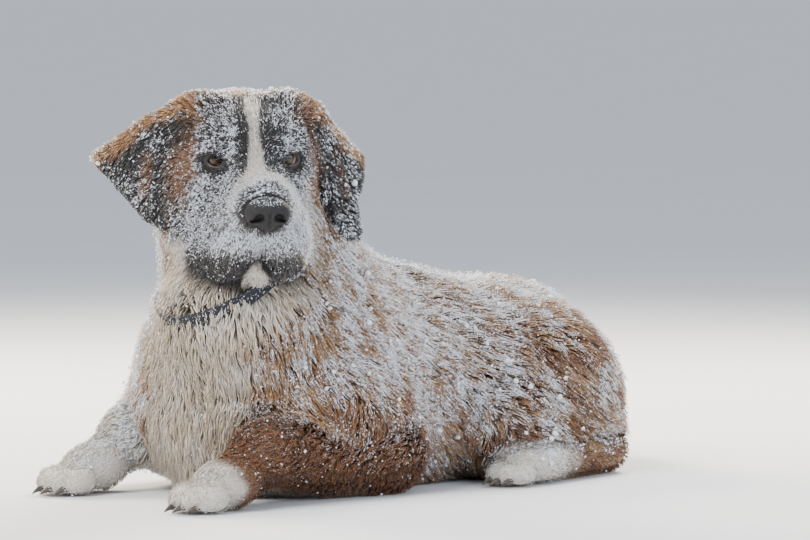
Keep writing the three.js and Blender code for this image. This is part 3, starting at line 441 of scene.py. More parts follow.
    # blaze, and the white band over the end of the muzzle round the nose
    cx = np.interp(Y, [-60, -52, -19, 12, 30], [-1, 1.5, 4.0, 8.0, 10.0]) + 0.8 * n2
    hw = np.interp(Y, [-64, -54, -40, -19, 5, 14, 22, 30], [2.0, 8.0, 6.8, 5.2, 6.4, 9.0, 19.0, 30.0]) + 0.5 * n3
    blaze = step(hw + 1.2, hw - 1.2, np.abs(X - cx)) * step(25, 21, Y) * step(-62, -54, Y + 1.5 * n2) * step(0.0, 0.25, facing)
    bx = X - 18.5; by = Y - 49.0
    ro = np.sqrt((bx / np.where(bx < 0, 37.5, 28.5)) ** 2 + (by / 32.0) ** 2)
    band = step(1.06, 0.97, ro + 0.03 * n3) * step(0.76, 0.86, ro + 0.05 * n3) * step(14, -4, by * np.where(bx < 0, 1, 0.35)) * fr1
    white = np.clip(np.maximum(blaze, band), 0, 1)
    face = mix(face, WHITE, white)
    face = mix(face, SNOW * 0.96, band * step(-24, 6, by + 6 * n3) * 0.0 + band * 0.55)
    bare = step(0.82, 0.68, ro + 0.06 * n3) * step(30, 22, by) * fr1
    face = mix(face, DARK * 2.2, bare * 0.85)
    # dark edges of the lips and under them, white chin
    lipd = (step(9, 4, np.abs(Y - np.interp(X, [-64, -45, -22, -6, 12, 22, 40, 52], [106, 122, 119, 104, 104, 116, 124, 110])) + 2 * n3) * step(-66, -58, X) * step(54, 46, X) * (np.abs(X - 4) > 9)) * fr1
    face = mix(face, DARK * 1.6, lipd * 0.9)
    ring = np.sqrt(((a - EYE[0]) / 14.0) ** 2 + ((v - 1.0) / 11.5) ** 2)
    face = mix(face, DARK * 1.1, step(1.25, 0.9, ring) * (u < 6))
    wh = np.clip(w['head'] * 1.8 - 0.1, 0, 1)
    cw = np.clip((Y - 97) * 0.62, 0, 15) + 1.6 * n3 + 1.5 * n2
    chin = step(cw + 2, cw - 2, np.abs(X - 6)) * step(97, 101, Y) * step(-80, -90, v) * step(-10, -25, u)
    mouth = step(cw + 9, cw + 5, np.abs(X - 6)) * step(95, 99, Y) * step(-80, -90, v) * step(-10, -25, u) * (1 - chin)
    face = mix(face, DARK, mouth * 0.95)
    jaw = step(-88, -100, v) * step(-10, 10, u)
    face = mix(face, WHITE, np.maximum(chin, jaw * 0.9))
    col = mix(col, face, wh)
    for s, nm in ((-1, 'ear_r'), (1, 'ear_l')):
        fp = GROUP[nm]['P'][0]
        ex, ey, ez = flap_local(q, fp)
        V = fp['poly']
        edge = (ex - V[1][0]) * (V[2][1] - V[1][1]) - (ey - V[1][1]) * (V[2][0] - V[1][0])
        edge = edge / np.hypot(V[2][0] - V[1][0], V[2][1] - V[1][1])
        top = step(-13, 0, edge + 4 * n3 + 4 * n2)
        ear = mix(np.tile(DARK, (len(P), 1)), mix(np.tile(GOLD, (len(P), 1)), RUST, step(-0.2, 0.6, n3)), top * 0.95)
        streak = step(9, 3, np.abs(ex - 30 - 0.12 * ey) + 3 * n3) * step(40, 55, ey) * step(112, 95, ey)
        ear = mix(ear, RUST * 0.8, streak * (0.8 if s < 0 else 0.5))
        ear = mix(ear, mix(np.tile(GOLD, (len(P), 1)), DARK, step(0.0, 0.6, n3)), step(16, 2, ey + 4 * n2) * 0.9)
        col = mix(col, ear, np.clip(w[nm] * 1.3, 0, 1))
    # snow: on what faces up or forward, in drifts of its own
    up = N[:, 2]
    s = 0.50 + 0.20 * up + 0.26 * noise(P, 60, 11) + 0.30 * noise(P, 15, 12)
    sf = 0.50 + 0.16 * noise(P, 26, 13) + 0.26 * noise(P, 8, 14, 2) + 0.10 * facing + 0.10 * step(0, 40, Y)
    sf = sf + 0.22 * mu * step(60, 72, Y + 0.4 * X) + 0.12 * step(-16, -8, Y) * step(0, -6, Y) * step(-50, -42, X) * step(-12, -20, X)
    sf = sf - 0.34 * step(7, 3, np.abs(np.abs(X - cx) - hw - 5)) * step(-66, -50, Y) * step(18, 8, Y)
    snow = s * (1 - wh) + sf * wh
    for nm, kk in (('ear_r', 0.30), ('ear_l', 0.05)): snow = snow * (1 - kk * w[nm])
    snow = snow * (1 - 0.55 * w['foreleg_l']) * (1 - 0.25 * w['tail'])
    snow = snow * (1 - 0.7 * bib) * (1 - 0.7 * throat * (1 - wh)) * (1 - 0.8 * np.clip(blaze * wh, 0, 1)) * (1 - 0.3 * np.clip(band * wh, 0, 1))
    snow = snow * (1 - 0.55 * lipd * wh) * (1 - 0.8 * mouth * wh) * (1 - 0.85 * np.clip(bare * step(-6, 8, by), 0, 1) * wh) * (1 - 0.8 * np.maximum(chin, jaw) * wh)
    snow = snow * (1 - 0.5 * np.clip(temple, 0, 1) * wh)
    snow = snow * (1 - 0.40 * rump * step(-0.2, 0.4, n1 + 0.5 * n2)) + 0.07 * w['neck'] * (1 - bib)
    snow = snow * (1 - wh * step(1.3, 0.9, ring) * (u < 6))
    snow = snow * (1 - 0.6 * step(40, 15, z))
    return col, np.clip(snow, 0, 1)

def flows(P, N, W):
    """lie of the coat: a direction along the skin"""
    w = {n: W[:, i] for i, n in enumerate(NAMES)}
    x, y, z = P.T
    one = np.ones_like(x)
    q = local(HEAD, P)
    F = np.zeros_like(P)
    side = np.clip(np.abs(x) / 110, 0, 1)
    F += w['trunk'][:, None] * np.stack([0.10 * np.sign(x) * side, one * 0.85, -0.30 - 0.55 * side], 1)
    chest = step(-210, -290, y)
    F += (w['trunk'] * chest)[:, None] * np.stack([0.1 * np.sign(x), -0.5 * one, -1.6 * one], 1)
    F += w['neck'][:, None] * np.stack([0.25 * np.sign(x), 0.35 * step(-300, -180, y), -1.0 * one], 1)
    hl = np.stack([0.30 * np.sign(q[:, 0]) * np.clip(np.abs(q[:, 0]) / 30, 0, 1), one * 1.0, -0.15 - 0.75 * step(20, -50, q[:, 2])], 1)
    hl += (step(-30, -60, q[:, 1]) * step(-40, -60, q[:, 2]))[:, None] * np.stack([0.15 * np.sign(q[:, 0]), -0.35 * one, -0.9 * one], 1)
    F += w['head'][:, None] * (hl @ HEAD['M'].T)
    for nm in ('ear_r', 'ear_l'):
        R = HEAD['M'] @ GROUP[nm]['P'][0]['R']
        F += w[nm][:, None] * (0.55 * R[:, 0] + 0.8 * R[:, 1])
    F += (w['foreleg_l'] + w['foreleg_r'])[:, None] * np.stack([0 * x, -one, -0.25 * one], 1)
    for s in ('l', 'r'):
        lowf = step(60, 40, z) * step(130, 145, np.abs(x))
        F += w['hindleg_' + s][:, None] * (np.stack([0.1 * np.sign(x), one * 0.5, -one * 0.9], 1) * (1 - lowf)[:, None] + np.stack([0 * x, -one, 0 * x], 1) * lowf[:, None])
    pts = np.array([[0, 275, 100], [-28, 330, 47], [-120, 348, 26], [-205, 305, 24], [-258, 225, 20]], float)
    t = np.argmin(((P[:, None] - (pts[:-1] + pts[1:])[None] / 2) ** 2).sum(2), 1)
    F += w['tail'][:, None] * unit(pts[1:] - pts[:-1])[t] * 1.2
    F += np.stack([noise(P, 55, 21, 2), noise(P, 55, 22, 2), noise(P, 55, 23, 2)], 1) * 0.16
    F -= N * (F * N).sum(1, keepdims=True)
    return unit(F)

# ---------------------------------------------------------------- meshes from arrays
def make(name, V, faces, smooth=True, cols=None, uv=None, uvname='UVMap'):
    """V mm in the table frame, faces (n, k)"""
    me = bpy.data.meshes.new(name)
    V = (V - ORIGIN) / 1000.0
    n, k = faces.shape
    me.vertices.add(len(V)); me.vertices.foreach_set('co', V.astype(np.float32).ravel())
    me.loops.add(n * k); me.loops.foreach_set('vertex_index', faces.astype(np.int32).ravel())
    me.polygons.add(n); me.polygons.foreach_set('loop_start', np.arange(0, n * k, k, dtype=np.int32))
    me.polygons.foreach_set('use_smooth', np.full(n, smooth))
    me.update(calc_edges=True)
    for cn, C in (cols or {}).items():
        at = me.attributes.new(cn, 'FLOAT_COLOR', 'POINT')
        if C.shape[1] == 3: C = np.concatenate([C, np.ones((len(C), 1))], 1)
        at.data.foreach_set('color', C.astype(np.float32).ravel())
    if uv is not None:
        l = me.uv_layers.new(name=uvname); l.data.foreach_set('uv', uv.astype(np.float32).ravel())
    ob = bpy.data.objects.new(name, me)
    bpy.context.scene.collection.objects.link(ob)
    return ob

# ---------------------------------------------------------------- node helpers
def material(name, rough=0.6, **kw):
    m = bpy.data.materials.new(name); m.use_nodes = True
    nt = m.node_tree; b = nt.nodes['Principled BSDF']
    b.inputs['Roughness'].default_value = rough
    for k, v in kw.items(): b.inputs[k].default_value = v
    return m, nt, b
def node(nt, kind, **kw):
    n = nt.nodes.new(kind)
    for k, v in kw.items(): setattr(n, k, v)
    return n
def attr(nt, name):
    n = node(nt, 'ShaderNodeAttribute'); n.attribute_name = name; return n
def mixc(nt, fac, a, b, blend='MIX'):
    n = node(nt, 'ShaderNodeMix', data_type='RGBA', blend_type=blend)
    for s, v in ((0, fac), (6, a), (7, b)):
        if hasattr(v, 'links'): nt.links.new(v, n.inputs[s])
        elif s == 0: n.inputs[0].default_value = v
        else: n.inputs[s].default_value = (*v, 1) if len(v) == 3 else v
    return n.outputs[2]
def mathn(nt, op, a, b=0.0, c=0.0, clamp=False):
    n = node(nt, 'ShaderNodeMath', operation=op, use_clamp=clamp)
    for i, v in enumerate((a, b, c)):
        if hasattr(v, 'links'): nt.links.new(v, n.inputs[i])
        else: n.inputs[i].default_value = v
    return n.outputs[0]
def noisen(nt, scale, detail=3, rough=0.55, coord=None, out='Fac'):
    n = node(nt, 'ShaderNodeTexNoise'); n.inputs['Scale'].default_value = scale
    n.inputs['Detail'].default_value = detail; n.inputs['Roughness'].default_value = rough
    if coord is not None: nt.links.new(coord, n.inputs['Vector'])
    return n.outputs[out]
def bump(nt, height, strength, dist):
    n = node(nt, 'ShaderNodeBump'); n.inputs['Strength'].default_value = strength; n.inputs['Distance'].default_value = dist
    nt.links.new(height, n.inputs['Height']); return n.outputs[0]
def ramp(nt, fac, a, b):
    n = node(nt, 'ShaderNodeMapRange'); n.inputs['From Min'].default_value = a; n.inputs['From Max'].default_value = b
    nt.links.new(fac, n.inputs['Value']); return n.outputs[0]

def fur_material(name, skin=False):
    m, nt, b = material(name, 0.62)
    co = node(nt, 'ShaderNodeTexCoord').outputs['Object']
    base = attr(nt, 'Base').outputs['Color']
    tone = noisen(nt, 900, 2, 0.5, co)
    dark = mixc(nt, 1.0, base, (0.55, 0.52, 0.50), 'MULTIPLY')
    c = mixc(nt, ramp(nt, tone, 0.3, 0.7), dark, base)
    if not skin:
        st = attr(nt, 'Lock')                        # r: root to tip, g: random of the lock, b: snow
        sep = node(nt, 'ShaderNodeSeparateColor'); nt.links.new(st.outputs['Color'], sep.inputs[0])
        t, rnd, snow = sep.outputs
        # painted shade: each lock's colour is darkened towards its root, standing in for the shade deep inside the coat
        root = mixc(nt, 1.0, c, (0.42, 0.40, 0.40), 'MULTIPLY')
        c = mixc(nt, ramp(nt, t, 0.0, 0.45), root, c)
        c = mixc(nt, mathn(nt, 'MULTIPLY', rnd, 0.45), c, (0.9, 0.8, 0.7), 'SOFT_LIGHT')
        # painted light: each lock's colour is lightened and warmed towards its tip, standing in for the backlit glow of
        # the fringe
        tip = mixc(nt, 1.0, c, (1.22, 1.14, 1.04), 'MULTIPLY')
        c = mixc(nt, ramp(nt, t, 0.62, 1.0), c, tip)
        grain = noisen(nt, 330, 3, 0.7, co)
        cover = mathn(nt, 'MULTIPLY', snow, ramp(nt, t, 0.05, 0.7))
        cover = mathn(nt, 'ADD', cover, mathn(nt, 'MULTIPLY', mathn(nt, 'SUBTRACT', grain, 0.5), 2.6))
        c = mixc(nt, ramp(nt, cover, 0.50, 0.64), c, tuple(SNOW))
    else:
        sn = attr(nt, 'Snow').outputs['Fac']
        grain = noisen(nt, 300, 3, 0.6, co)
        cover = mathn(nt, 'ADD', mathn(nt, 'MULTIPLY', sn, 0.8), mathn(nt, 'MULTIPLY', mathn(nt, 'SUBTRACT', grain, 0.5), 1.2))
        c = mixc(nt, ramp(nt, cover, 0.50, 0.66), c, tuple(SNOW))
        h = noisen(nt, 700, 3, 0.6, co)
        nt.links.new(bump(nt, h, 0.6, 0.0012), b.inputs['Normal'])
    nt.links.new(c, b.inputs['Base Color'])
    b.inputs['Sheen Weight'].default_value = 0.25
    b.inputs['Sheen Roughness'].default_value = 0.4
    b.inputs['Specular IOR Level'].default_value = 0.3
    return m

FUR = fur_material('coat_fur'); SKINM = fur_material('skin_under_coat', True)
def snow_material():
    m, nt, b = material('snow_grains', 0.45)
    co = node(nt, 'ShaderNodeTexCoord').outputs['Object']
    f = noisen(nt, 260, 3, 0.6, co)
    nt.links.new(mixc(nt, ramp(nt, f, 0.3, 0.7), (0.72, 0.78, 0.86), (0.90, 0.92, 0.95)), b.inputs['Base Color'])
    nt.links.new(bump(nt, noisen(nt, 1500, 2, 0.6, co), 0.5, 0.0006), b.inputs['Normal'])
    b.inputs['Subsurface Weight'].default_value = 0.15
    b.inputs['Subsurface Radius'].default_value = (0.004, 0.005, 0.006)
    b.inputs['Subsurface Scale'].default_value = 1.0
    return m
SNOWM = snow_material()

# ---------------------------------------------------------------- skin
BODY_H, HEAD_H = 4.5, 2.0
cut_n = HEAD['M'] @ unit(np.array([[0, 0.76, -0.65]]))[0]; cut_c = 86 + cut_n @ HEAD['T']
F, LO = field_grid([-320, -480, -40], [240, 430, 490], BODY_H)
GRID = Grid(F, LO, BODY_H)
# the floor flat
Z = LO[2] + np.arange(F.shape[2]) * BODY_H
F2 = smax(F, np.broadcast_to((3.0 - Z)[None, None, :], F.shape), 5).astype(np.float32)
Vb, Qb = nets(F2, LO, BODY_H)
Fh, LOh = field_grid([-60, -470, 215], [270, -110, 480], HEAD_H)
Vh, Qh = nets(Fh, LOh, HEAD_H)

def clean(V, Q):
    used = np.unique(Q); m = -np.ones(len(V), np.int64); m[used] = np.arange(len(used))
    return V[used], m[Q]
for it in range(2):          # the head's points fall onto its surface exactly
    e = 0.6
    d0 = whole(Vh, 0.0)
    G = np.stack([whole(Vh + v, 0.0) - whole(Vh - v, 0.0) for v in np.eye(3) * e], 1) / (2 * e)
    Vh = Vh - G * (np.clip(d0, -1.5, 1.5) / np.maximum((G ** 2).sum(1), 0.25))[:, None]
def on_ear(V): return np.minimum(gdist(GROUP['ear_l'], V, 0.0), gdist(GROUP['ear_r'], V, 0.0)) < 4
sb = np.where(on_ear(Vb), -60, Vb @ cut_n - cut_c)             # < 0: head and ears
box = (Vb[:, 0] > -58) & (Vb[:, 0] < 268) & (Vb[:, 1] > -468) & (Vb[:, 1] < -112) & (Vb[:, 2] > 217)
Qb = Qb[~((sb[Qb].max(1) < -9) & box[Qb].all(1))]
Vb = Vb - GRID.grad(Vb) * (np.clip(-sb / 9, 0, 1) * box * 2.0)[:, None]
sh = np.where(on_ear(Vh), -60, Vh @ cut_n - cut_c)
Qh = Qh[sh[Qh].min(1) < 2]
Vb, Qb = clean(Vb, Qb); Vh, Qh = clean(Vh, Qh)
V = np.concatenate([Vb, Vh]); Q = np.concatenate([Qb, Qh + len(Vb)])
N = GRID.grad(V, 2.0)
nz = N.copy()
W = weights(V)
COL, SN = markings(V, N, W)
# lips, lid rims and the skin round the nose are bare and dark
q = local(HEAD, V); qa = np.concatenate([np.abs(q[:, :1]), q[:, 1:]], 1)
e = qa - EYE
rim = step(17.2, 15.4, np.sqrt((e ** 2).sum(1))) * (np.sqrt((e[:, 0] / 12.5) ** 2 + (e[:, 2] / 9.2) ** 2) < 1.05) * (e[:, 1] < 0)
COL = mix(COL, np.array([0.045, 0.032, 0.030]), rim)
haw = rim * step(-1.0, -4.0, e[:, 2]) * (np.sqrt((e[:, 0] / 11.0) ** 2 + (e[:, 2] / 8.0) ** 2) < 1.03)
COL = mix(COL, np.array([0.34, 0.24, 0.22]), haw * 0.85)
nosed = gdist(GROUP['nose'], V, 0.0)
COL = mix(COL, DARK * 1.2, step(7, 2, nosed))
SN = SN * (1 - rim) * (1 - step(5, 1, nosed))
skin = make('skin', V, Q, cols={'Base': COL, 'Snow': np.stack([SN, SN, SN], 1)})
skin.data.materials.append(SKINM)
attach(skin, 'root')
FLESH = ['head', 'ear_l', 'ear_r', 'neck', 'trunk', 'foreleg_l', 'foreleg_r', 'forepaw_l', 'forepaw_r', 'hindleg_l', 'hindleg_r', 'hindpaw_l', 'hindpaw_r', 'tail']
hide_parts(*FLESH)

# ---------------------------------------------------------------- coat
TRI = np.concatenate([Q[:, [0, 1, 2]], Q[:, [0, 2, 3]]])
A = V[TRI]
area = np.linalg.norm(np.cross(A[:, 1] - A[:, 0], A[:, 2] - A[:, 0]), axis=1) / 2
cen = A.mean(1)
WT = W[TRI].mean(1)
qc = local(HEAD, cen); qca = np.concatenate([np.abs(qc[:, :1]), qc[:, 1:]], 1)
# strands per square millimetre
rate = np.full(len(TRI), 0.120)
rate = rate * (1 + 0.35 * step(60, 160, cen @ np.array([0.7, -0.7, 0.1])))
wh = WT[:, NAMES.index('head')]; we = WT[:, NAMES.index('ear_l')] + WT[:, NAMES.index('ear_r')]
rate = rate * (1 - wh) + wh * (0.36 + 0.0 * wh)
rate = rate * (1 - we) + we * 0.19
wf = WT[:, NAMES.index('foreleg_l')] + WT[:, NAMES.index('foreleg_r')]
rate = rate * (1 - wf) + wf * 0.20
en = cen - (HEAD['T'] + 0)
eo = qca - EYE
bare = (np.sqrt((eo[:, 0] / 13.0) ** 2 + (eo[:, 2] / 11.0) ** 2) < 1.0) & (eo[:, 1] < 4) & (np.linalg.norm(eo, axis=1) < 20)
bare |= gdist(GROUP['nose'], cen, 0.0) < 1.0
bare |= cen[:, 2] < 5
tri_is_body = TRI[:, 0] < len(Vb)
bare |= tri_is_body & (np.where(on_ear(cen), -60, cen @ cut_n - cut_c) < 0) & (cen[:, 2] > 217) & (cen[:, 1] < -112) & (cen[:, 0] > -58)
rate[bare] = 0
cum = np.cumsum(area * rate); total = int(cum[-1])
u = (np.arange(total) + RNG.random(total)) / total * cum[-1]
ti = np.minimum(np.searchsorted(cum, u), len(TRI) - 1)
r1, r2 = np.sqrt(RNG.random(total)), RNG.random(total)
bar = np.stack([1 - r1, r1 * (1 - r2), r1 * r2], 1)
ROOT = (V[TRI[ti]] * bar[:, :, None]).sum(1)
RN = unit((N[TRI[ti]] * bar[:, :, None]).sum(1))
RW = weights(ROOT)
RCOL, RSN = markings(ROOT, RN, RW)
FLOW = flows(ROOT, RN, RW)
depth = np.clip(-whole(ROOT, 1.0), 1.5, 34)
print('locks', total, 'skin', len(Q))

def region(names): return RW[:, [NAMES.index(n) for n in names]].sum(1)
rh, re_ = region(['head']), region(['ear_l', 'ear_r'])
rf = region(['foreleg_l', 'foreleg_r'])
qr = local(HEAD, ROOT); qra = np.concatenate([np.abs(qr[:, :1]), qr[:, 1:]], 1)
front = step(40, 10, qr[:, 1]) * rh                      # the short-haired face
low = step(48, 30, ROOT[:, 2]) * (rf + region(['hindleg_l', 'hindleg_r']) * step(130, 145, np.abs(ROOT[:, 0])))
L = depth * 1.28 + 5
L = L * (1 - front) + front * (5.5 + 4.5 * RNG.random(total))
L = L * (1 - 0.45 * low)
L = L * (0.75 + 0.5 * RNG.random(total))
L = np.maximum(L, 4)
h = np.minimum(depth * (0.62 + 0.42 * RNG.random(total)), L * 0.82)
h = h * (1 - front) + front * np.minimum(L * (0.28 + 0.25 * RNG.random(total)), 6)
width = 0.36 + L * 0.026
width = width * (1 - 0.25 * front)
rnd = RNG.random(total)

def strands(sel, rings, sides=3):
    """arrays of vertices, triangles and attributes for the locks in sel"""
    n = len(sel)
    R0, n0, f0 = ROOT[sel], RN[sel], FLOW[sel]
    s0 = unit(np.cross(f0, n0))
    Ls, hs, ws, dp = L[sel], h[sel], width[sel], depth[sel]
    along = np.sqrt(np.maximum(Ls ** 2 - hs ** 2, 1))
    ts = np.linspace(0, 1, rings + 1)
    C = []
    ph = RNG.random(n) * 6.28; amp = Ls * 0.10 * (1 - 0.7 * front[sel])
    bend = (RNG.random(n) - 0.5) * 0.22
    prev = None
    for t in ts:
        rise = hs * (1 - (1 - t) ** 2)
        P = R0 + f0 * (along * t)[:, None] + n0 * rise[:, None]
        P = P + s0 * (np.sin(ph + t * 4.2) * amp * t + bend * along * t * t)[:, None]
        if t > 0:
            err = np.clip(rise - GRID(P), -25, 25)
            P = P + GRID.grad(P, 3.0) * (err * 0.9)[:, None]
        C.append(P)
    C = np.stack(C, 1)
    C[:, 0] -= n0 * 1.2
    # tufts: neighbours lean to one lock and share its tip
    k = max(1, n // 7)
    lead = RNG.choice(n, k, replace=False)
    kd = kdtree.KDTree(k)
    for j, i in enumerate(lead): kd.insert(R0[i], j)
    kd.balance()
    near = np.array([kd.find(p)[1] for p in R0])
    lean = (0.30 + 0.45 * RNG.random(n)) * (Ls > 9) + 0.12
    lc = C[lead[near]]
    gap = np.linalg.norm(R0 - R0[lead[near]], axis=1)
    lean = lean * np.clip(1.6 - gap / 9.0, 0, 1)
    off = lc - C
    C = C + off * (ts[None, :, None] ** 1.6) * lean[:, None, None]
    C[:, 1:, 2] = np.maximum(C[:, 1:, 2], 0.6 + 0.5 * rnd[sel][:, None])
    C[:, 0, 2] = np.maximum(C[:, 0, 2], 0.5)
    prof = {2: [0.95, 0.75], 3: [0.9, 1.0, 0.62], 4: [0.85, 1.0, 0.85, 0.5]}[rings]
    tang = np.gradient(C, axis=1)
    tang = tang / (np.linalg.norm(tang, axis=2, keepdims=True) + 1e-9)
    vs, tt = [], []
    for j in range(rings):
        s = unit(np.cross(tang[:, j], n0)); up = unit(np.cross(s, tang[:, j]))
        for a in range(sides):
            an = np.pi / 2 + a * 2 * np.pi / sides
            vs.append(C[:, j] + (s * np.cos(an) + up * np.sin(an) * 0.42) * (ws * prof[j])[:, None])
            tt.append(np.full(n, ts[j]))
    vs.append(C[:, rings]); tt.append(np.ones(n))
    VS = np.stack(vs, 1); TT = np.stack(tt, 1)
    VS[:, :, 2] = np.maximum(VS[:, :, 2], 0.4)
    pat = []
    for j in range(rings - 1):
        for a in range(sides):
            b = (a + 1) % sides
            p, q_ = j * sides + a, j * sides + b
            pat += [[p, q_, q_ + sides], [p, q_ + sides, p + sides]]
    for a in range(sides):
        pat.append([(rings - 1) * sides + a, (rings - 1) * sides + (a + 1) % sides, rings * sides])
    pat.append([2, 1, 0])
    pat = np.array(pat); m = rings * sides + 1
    T = (np.arange(n) * m)[:, None, None] + pat[None]
    return VS, T, TT, pat, m

def unwrap(P, lo, hi, axis, centre):
    """the skin's own unwrap: round an axis and along it"""
    a = np.asarray(axis, float) / np.linalg.norm(axis)
    r = P - centre
    s = r @ a
    b = np.cross(a, [0, 0, 1.0]) if abs(a[2]) < 0.9 else np.cross(a, [1.0, 0, 0]); b /= np.linalg.norm(b)
    c = np.cross(a, b)
    th = np.arctan2(r @ c, r @ b) / (2 * np.pi) + 0.5
    sv = (s - s.min()) / max(s.max() - s.min(), 1e-6)
    return np.stack([0.004 + th * 0.988, 0.004 + sv * 0.988], 1)

def coat_piece(name, sel, rings, axis, centre):
    VS, T, TT, pat, m = strands(sel, rings)
    n = len(sel)
    uv0 = unwrap(ROOT[sel], 0, 0, axis, centre)
    jit = RNG.random((n, 2)) * 0.002
    side = np.tile(np.concatenate([np.tile([0.0, 0.5, 1.0], rings), [0.5]]), (n, 1))
    uvv = uv0[:, None, :] + jit[:, None, :] + np.stack([side, TT], 2) * 0.003
    base = np.repeat(RCOL[sel] * (0.86 + 0.28 * rnd[sel])[:, None], m, 0)
    lock = np.stack([TT.ravel(), np.repeat(rnd[sel], m), np.repeat(RSN[sel], m)], 1)
    Tf = T.reshape(-1, 3)
    ob = make(name, VS.reshape(-1, 3), Tf, cols={'Base': base, 'Lock': lock}, uv=uvv.reshape(-1, 2)[Tf].reshape(-1, 2), uvname='OFBake')
    ob.data.materials.append(FUR)
    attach(ob, 'root')
    print(name, len(Tf))
    return VS

main = RW.argmax(1)
isn = lambda *ns: np.isin(main, [NAMES.index(n) for n in ns])
tipz = []
H0 = HEAD['T']
CUTS = [
    ('coat_face', (isn('head') & (front > 0.5)), 2, HEAD['M'][:, 1], H0 + HEAD['M'] @ np.array([0, 0, -30.0])),
    ('coat_skull', (isn('head') & (front <= 0.5)), 2, HEAD['M'][:, 1], H0),
    ('coat_ears', isn('ear_l', 'ear_r'), 3, HEAD['M'][:, 2], H0),
    ('coat_neck', isn('neck'), 2, [0, 0.3, 0.95], np.array([0, -220, 220.0])),
    ('coat_chest', isn('trunk') & (ROOT[:, 1] < -150), 2, [0, 1, 0], np.array([0, -200, 110.0])),
    ('coat_back', isn('trunk') & (ROOT[:, 1] >= -150), 2, [0, 1, 0], np.array([0, 0, 110.0])),
    ('coat_foreleg_l', isn('foreleg_l'), 2, [0, 1, 0], np.array([120, -200, 45.0])),
    ('coat_foreleg_r', isn('foreleg_r'), 2, [0, 1, 0], np.array([-120, -200, 45.0])),
    ('coat_hindleg_l', isn('hindleg_l'), 2, [0, 1, 0], np.array([95, 150, 70.0])),
    ('coat_hindleg_r', isn('hindleg_r'), 2, [0, 1, 0], np.array([-95, 150, 70.0])),
    ('coat_tail', isn('tail'), 2, [1, 0, 0], np.array([-150, 345, 25.0])),
]
TOTAL = 0
for nm, mask, rings, ax, cc in CUTS:
    sel = np.nonzero(mask)[0]
    if not len(sel): continue
    per = (10 if rings == 2 else 16)
    parts = int(np.ceil(len(sel) * per / 185000))
    if parts > 1:       # split along the piece
        a = np.asarray(ax, float) / np.linalg.norm(ax)
        sel = sel[np.argsort(ROOT[sel] @ a)]
    for i, s in enumerate(np.array_split(sel, parts)):
        coat_piece(nm if parts == 1 else '%s_%d' % (nm, i + 1), s, rings, ax, cc)
        TOTAL += len(s) * per
print('coat triangles', TOTAL)

# ---------------------------------------------------------------- snow grains and clumps on the coat
def grains(name, sel, size, lift, sub=1):
    n = len(sel)
    P = ROOT[sel] + RN[sel] * (lift)[:, None] + FLOW[sel] * (L[sel] * 0.35)[:, None]
    P = P + GRID.grad(P, 3.0) * np.clip(lift - GRID(P), -12, 12)[:, None]
    P[:, 2] = np.maximum(P[:, 2], size * 1.1 + 0.6)
    if sub == 1:
        D = np.array([[1, 0, 0], [-1, 0, 0], [0, 1, 0], [0, -1, 0], [0, 0, 1], [0, 0, -1]], float)
        Fc = np.array([[0, 2, 4], [2, 1, 4], [1, 3, 4], [3, 0, 4], [2, 0, 5], [1, 2, 5], [3, 1, 5], [0, 3, 5]])
    else:
        t = (1 + 5 ** 0.5) / 2
        D = np.array([[-1, t, 0], [1, t, 0], [-1, -t, 0], [1, -t, 0], [0, -1, t], [0, 1, t], [0, -1, -t], [0, 1, -t], [t, 0, -1], [t, 0, 1], [-t, 0, -1], [-t, 0, 1]], float)
        D /= np.linalg.norm(D[0])
        Fc = np.array([[0, 11, 5], [0, 5, 1], [0, 1, 7], [0, 7, 10], [0, 10, 11], [1, 5, 9], [5, 11, 4], [11, 10, 2], [10, 7, 6], [7, 1, 8], [3, 9, 4], [3, 4, 2], [3, 2, 6], [3, 6, 8], [3, 8, 9], [4, 9, 5], [2, 4, 11], [6, 2, 10], [8, 6, 7], [9, 8, 1]])
    m = len(D)
    rr = RNG.normal(size=(n, 3)); rr = unit(rr); r2 = unit(np.cross(rr, unit(RNG.normal(size=(n, 3))))); r3 = np.cross(rr, r2)
    B = np.stack([rr, r2, r3], 1)
    S = size[:, None] * (0.7 + 0.6 * RNG.random((n, 3)))
    VV = P[:, None, :] + np.einsum('md,nd,ndk->nmk', D, S, B) * (0.8 + 0.4 * RNG.random((n, m, 1)))
    VV[:, :, 2] = np.maximum(VV[:, :, 2], 0.4)
    T = ((np.arange(n) * m)[:, None, None] + Fc[None]).reshape(-1, 3)
    uv0 = unwrap(ROOT[sel], 0, 0, [0, 1, 0], np.array([0, 0, 150.0]))
    uvv = uv0[:, None, :] + (D[:, :2] * 0.5 + 0.5)[None] * 0.003
    ob = make(name, VV.reshape(-1, 3), T, uv=uvv.reshape(-1, 2)[T].reshape(-1, 2), uvname='OFBake')
    ob.data.materials.append(SNOWM)
    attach(ob, 'root')
    print(name, len(T))

idx = np.arange(total)
pf = RSN * (front > 0.5) * RNG.random(total)
fs = idx[(front > 0.5) & (RNG.random(total) < RSN ** 1.5 * 0.62)]
grains('snow_face', fs, 0.40 + 0.62 * RNG.random(len(fs)) ** 2, 2.0 + 3.5 * RNG.random(len(fs)))
bs = idx[(front <= 0.5) & (RNG.random(total) < RSN ** 1.7 * 0.26)]
grains('snow_body', bs, 0.5 + 1.05 * RNG.random(len(bs)) ** 2, depth[bs] * (0.75 + 0.25 * RNG.random(len(bs))))
cl = idx[(front <= 0.5) & (noise(ROOT, 26, 31) + 0.5 * noise(ROOT, 60, 32) > 0.25) & (RNG.random(total) < RSN ** 2.2 * 0.045)]
grains('snow_clumps', cl, 1.5 + 2.2 * RNG.random(len(cl)) ** 3, depth[cl] * (0.8 + 0.15 * RNG.random(len(cl))), 2)

